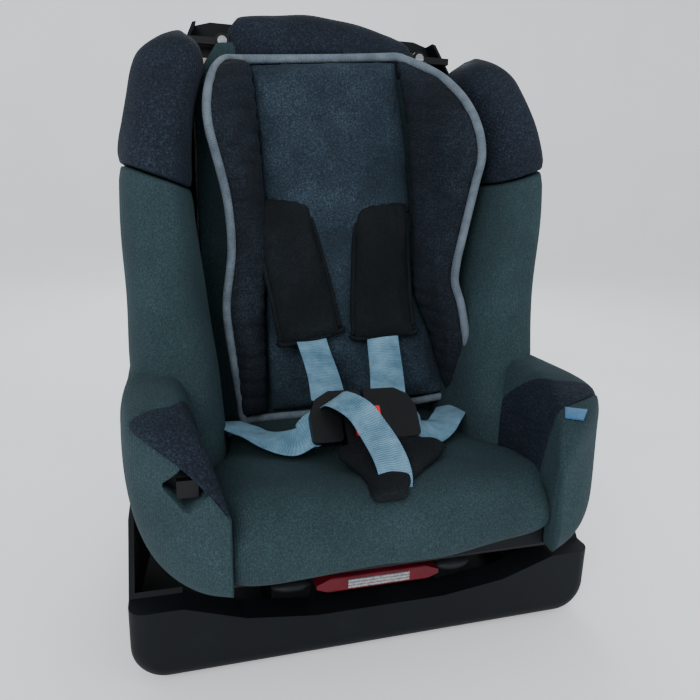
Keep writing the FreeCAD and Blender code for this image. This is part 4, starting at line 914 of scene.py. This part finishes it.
def straps(cloth):
    """Every length of harness webbing, from stations of (centre, direction across)."""
    lap = [((138, -20, 165), (0.9, 0.4, 0)), ((134, -28, 180), (0.9, 0.1, 0.1)),
           ((114, -62, 183), (0.8, -0.55, 0.1)), ((90, -92, 182), (0.65, -0.75, 0.1)),
           ((68, -110, 185), (0.4, -0.85, -0.2)), ((56, -112, 193), (0.1, -0.7, -0.6)),
           ((44, -110, 198), (0, -0.64, -0.77))]
    rear = [((48, 108, 414), ACROSS), ((48, 136, 412), ACROSS), ((47, 148, 400), ACROSS),
            ((40, 146, 340), ACROSS), ((27, 141.5, 267), ACROSS), ((26, 140, 254), ACROSS)]
    runs = {"crotch_strap": ([((0, -147, 101), ACROSS), ((0, -147, 148), ACROSS), ((0, -145, 160), ACROSS),
                              ((0, -140.6, 167), ACROSS)], "stretched"),
            "adjuster_strap": ([((0, -206, 158), ACROSS), ((0, -209, 176), ACROSS), ((0, -205, 188), ACROSS),
                                ((-1, -188, 199), (1, 0, 0.05)), ((-5, -160, 210), (1, 0.1, 0.15)),
                                ((-14, -138, 223), (1, 0.35, 0.3)), ((-28, -112, 226), (0.8, 0.55, 0.3)),
                                ((-34, -92, 214), (0.7, 0.6, 0.1))], "draped"),
            "adjuster_tail": ([((0, 140, 254), ACROSS), ((0, 137, 234), ACROSS), ((0, 114, 160), ACROSS),
                               ((0, 105, 116), ACROSS), ((0, 92, 98), ACROSS), ((0, 60, 96.4), ACROSS),
                               ((0, -60, 95.6), ACROSS), ((0, -120, 95.6), ACROSS),
                               ((0, -186, 95.4), ACROSS), ((0, -199, 102), ACROSS),
                               ((0, -207, 134), ACROSS)], "stretched")}
    for word in SIDES:
        flip = mirrored_route if word == "left" else list
        runs["shoulder_strap_" + word] = (SHOULDER[word], "stretched")
        runs["lap_strap_" + word] = (flip(lap), "draped")
        runs["rear_strap_" + word] = (flip(rear), "stretched")
    for name, (route, held) in runs.items():
        width = ADJUSTER_WIDTH if name == "adjuster_strap" else STRAP_WIDTH
        strap, length = webbing(name + "_webbing", route, width, cup=0.8 if held == "draped" else 0.0)
        fabric(strap, cloth)
        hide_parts(name)


def crotch_piece(material):
    """Black quilted pad under the buckle: kite-shaped from above, widest behind the buckle, crowned, with
    grooves 16 mm apart along it, each a Gaussian across the groove."""
    spacing, groove = 16, 1.2
    left = ((-28, -232, 177), (-28, -212, 179), (-28, -185, 181), (-38, -156, 184), (-34, -138, 188))
    right = ((4, -232, 177), (14, -212, 179), (40, -185, 181), (72, -152, 184), (66, -134, 188))
    pad = grid_mesh("crotch_pad_quilt", pillow(left, right, 12, rows=60, columns=60, crown=2, ends=14))
    swollen(pad, 2.0, voxel=4.0, pressure=3)
    moved(pad, lambda places, normals: -normals * (groove * np.exp(
        -((((places[:, :1] + 100) % spacing) - spacing / 2) / 1.6) ** 2)))
    smoothed(pad)
    fabric(pad, material)
    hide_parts("crotch_pad")


def tag(material):
    """Small woven tag sewn in beside the right arm's outer seam: a flat flap between two lines of the
    arm's own surface, lifting off it towards its free end."""
    share = np.linspace(0.865, 0.903, 12)
    root = arm_surface(1, share, np.full(12, 0.21))
    tip = arm_surface(1, share, np.full(12, 0.09))
    reach = np.linspace(0, 1, 12)[None, :, None]
    lift = np.array([-0.27, -0.52, 0.81])
    sheet = root[:, None] + (tip - root)[:, None] * reach + lift * (1 + 2.5 * reach)
    sides = [sheet + lift * 0.35, (sheet - lift * 0.35)[:, ::-1]]
    piece = grid_mesh("arm_tag", np.concatenate(sides, axis=1), flat=(0.03, 0.02))
    fabric(piece, material)


def paint_frame(finishes):
    """Gives each CAD part that still shows the finish of its material slot."""
    slots = {part["node"]: part["material_slot"] for part in frame["record"]["subparts"]}
    for name, piece in frame["nodes"].items():
        finish = finishes.get(slots[name])
        if finish is None:
            continue
        if not piece.material_slots:
            piece.data.materials.append(finish)
        for holder in piece.material_slots:
            holder.material = finish


# --- Assembly ----------------------------------------------------------------------------------------------

camera()
studio()
teal, navy = teal_knit(), navy_denim()
# the second infant pad cloth is the first made darker: painted shade on the side panels
pad_blue, pad_shaded = insert_denim(), shaded_insert_denim()
quilt, blue_webbing, grey_tape = nylon_quilt(), harness_webbing(), binding_tape()
black_plastic = moulded("polypropylene_black", "#06090c", "#0c1116", 0.62, strength=0.5, specular=0.18)
gloss_plastic = moulded("nylon_black", "#040507", "#080a0c", 0.4, strength=0.12, specular=0.25)
paint_frame({
    "black_shell": black_plastic,
    "black_gloss": gloss_plastic,
    "grey_plastic": moulded("acetal_grey", "#16191c", "#23272b", 0.55, specular=0.25),
    "foot_rubber": foot_rubber(),
    "zinc_steel": zinc_steel(),
    "handle_red": moulded("abs_crimson", "#4c0615", "#6c0c20", 0.4, strength=0.1, specular=0.3),
    "button_red": moulded("abs_bright_red", "#c01018", "#e01c20", 0.28, strength=0.05),
    "blank_label": label_film(),
    "pad_foam": open_foam(),
    "cover_teal": teal,
    "denim_navy": navy,
    "insert_denim": pad_blue,
    "webbing_blue": blue_webbing,
    "pad_black": quilt,
})
wings(teal, navy)
arms(teal, navy)
cushion(teal)
back_panels(teal, navy)
infant_pad(pad_blue, pad_shaded, grey_tape)
shoulder_pads(quilt)
straps(blue_webbing)
crotch_piece(quilt)
tag(woven("damask_tag_blue", "#14527f", "#2577a8", rib=1.2))
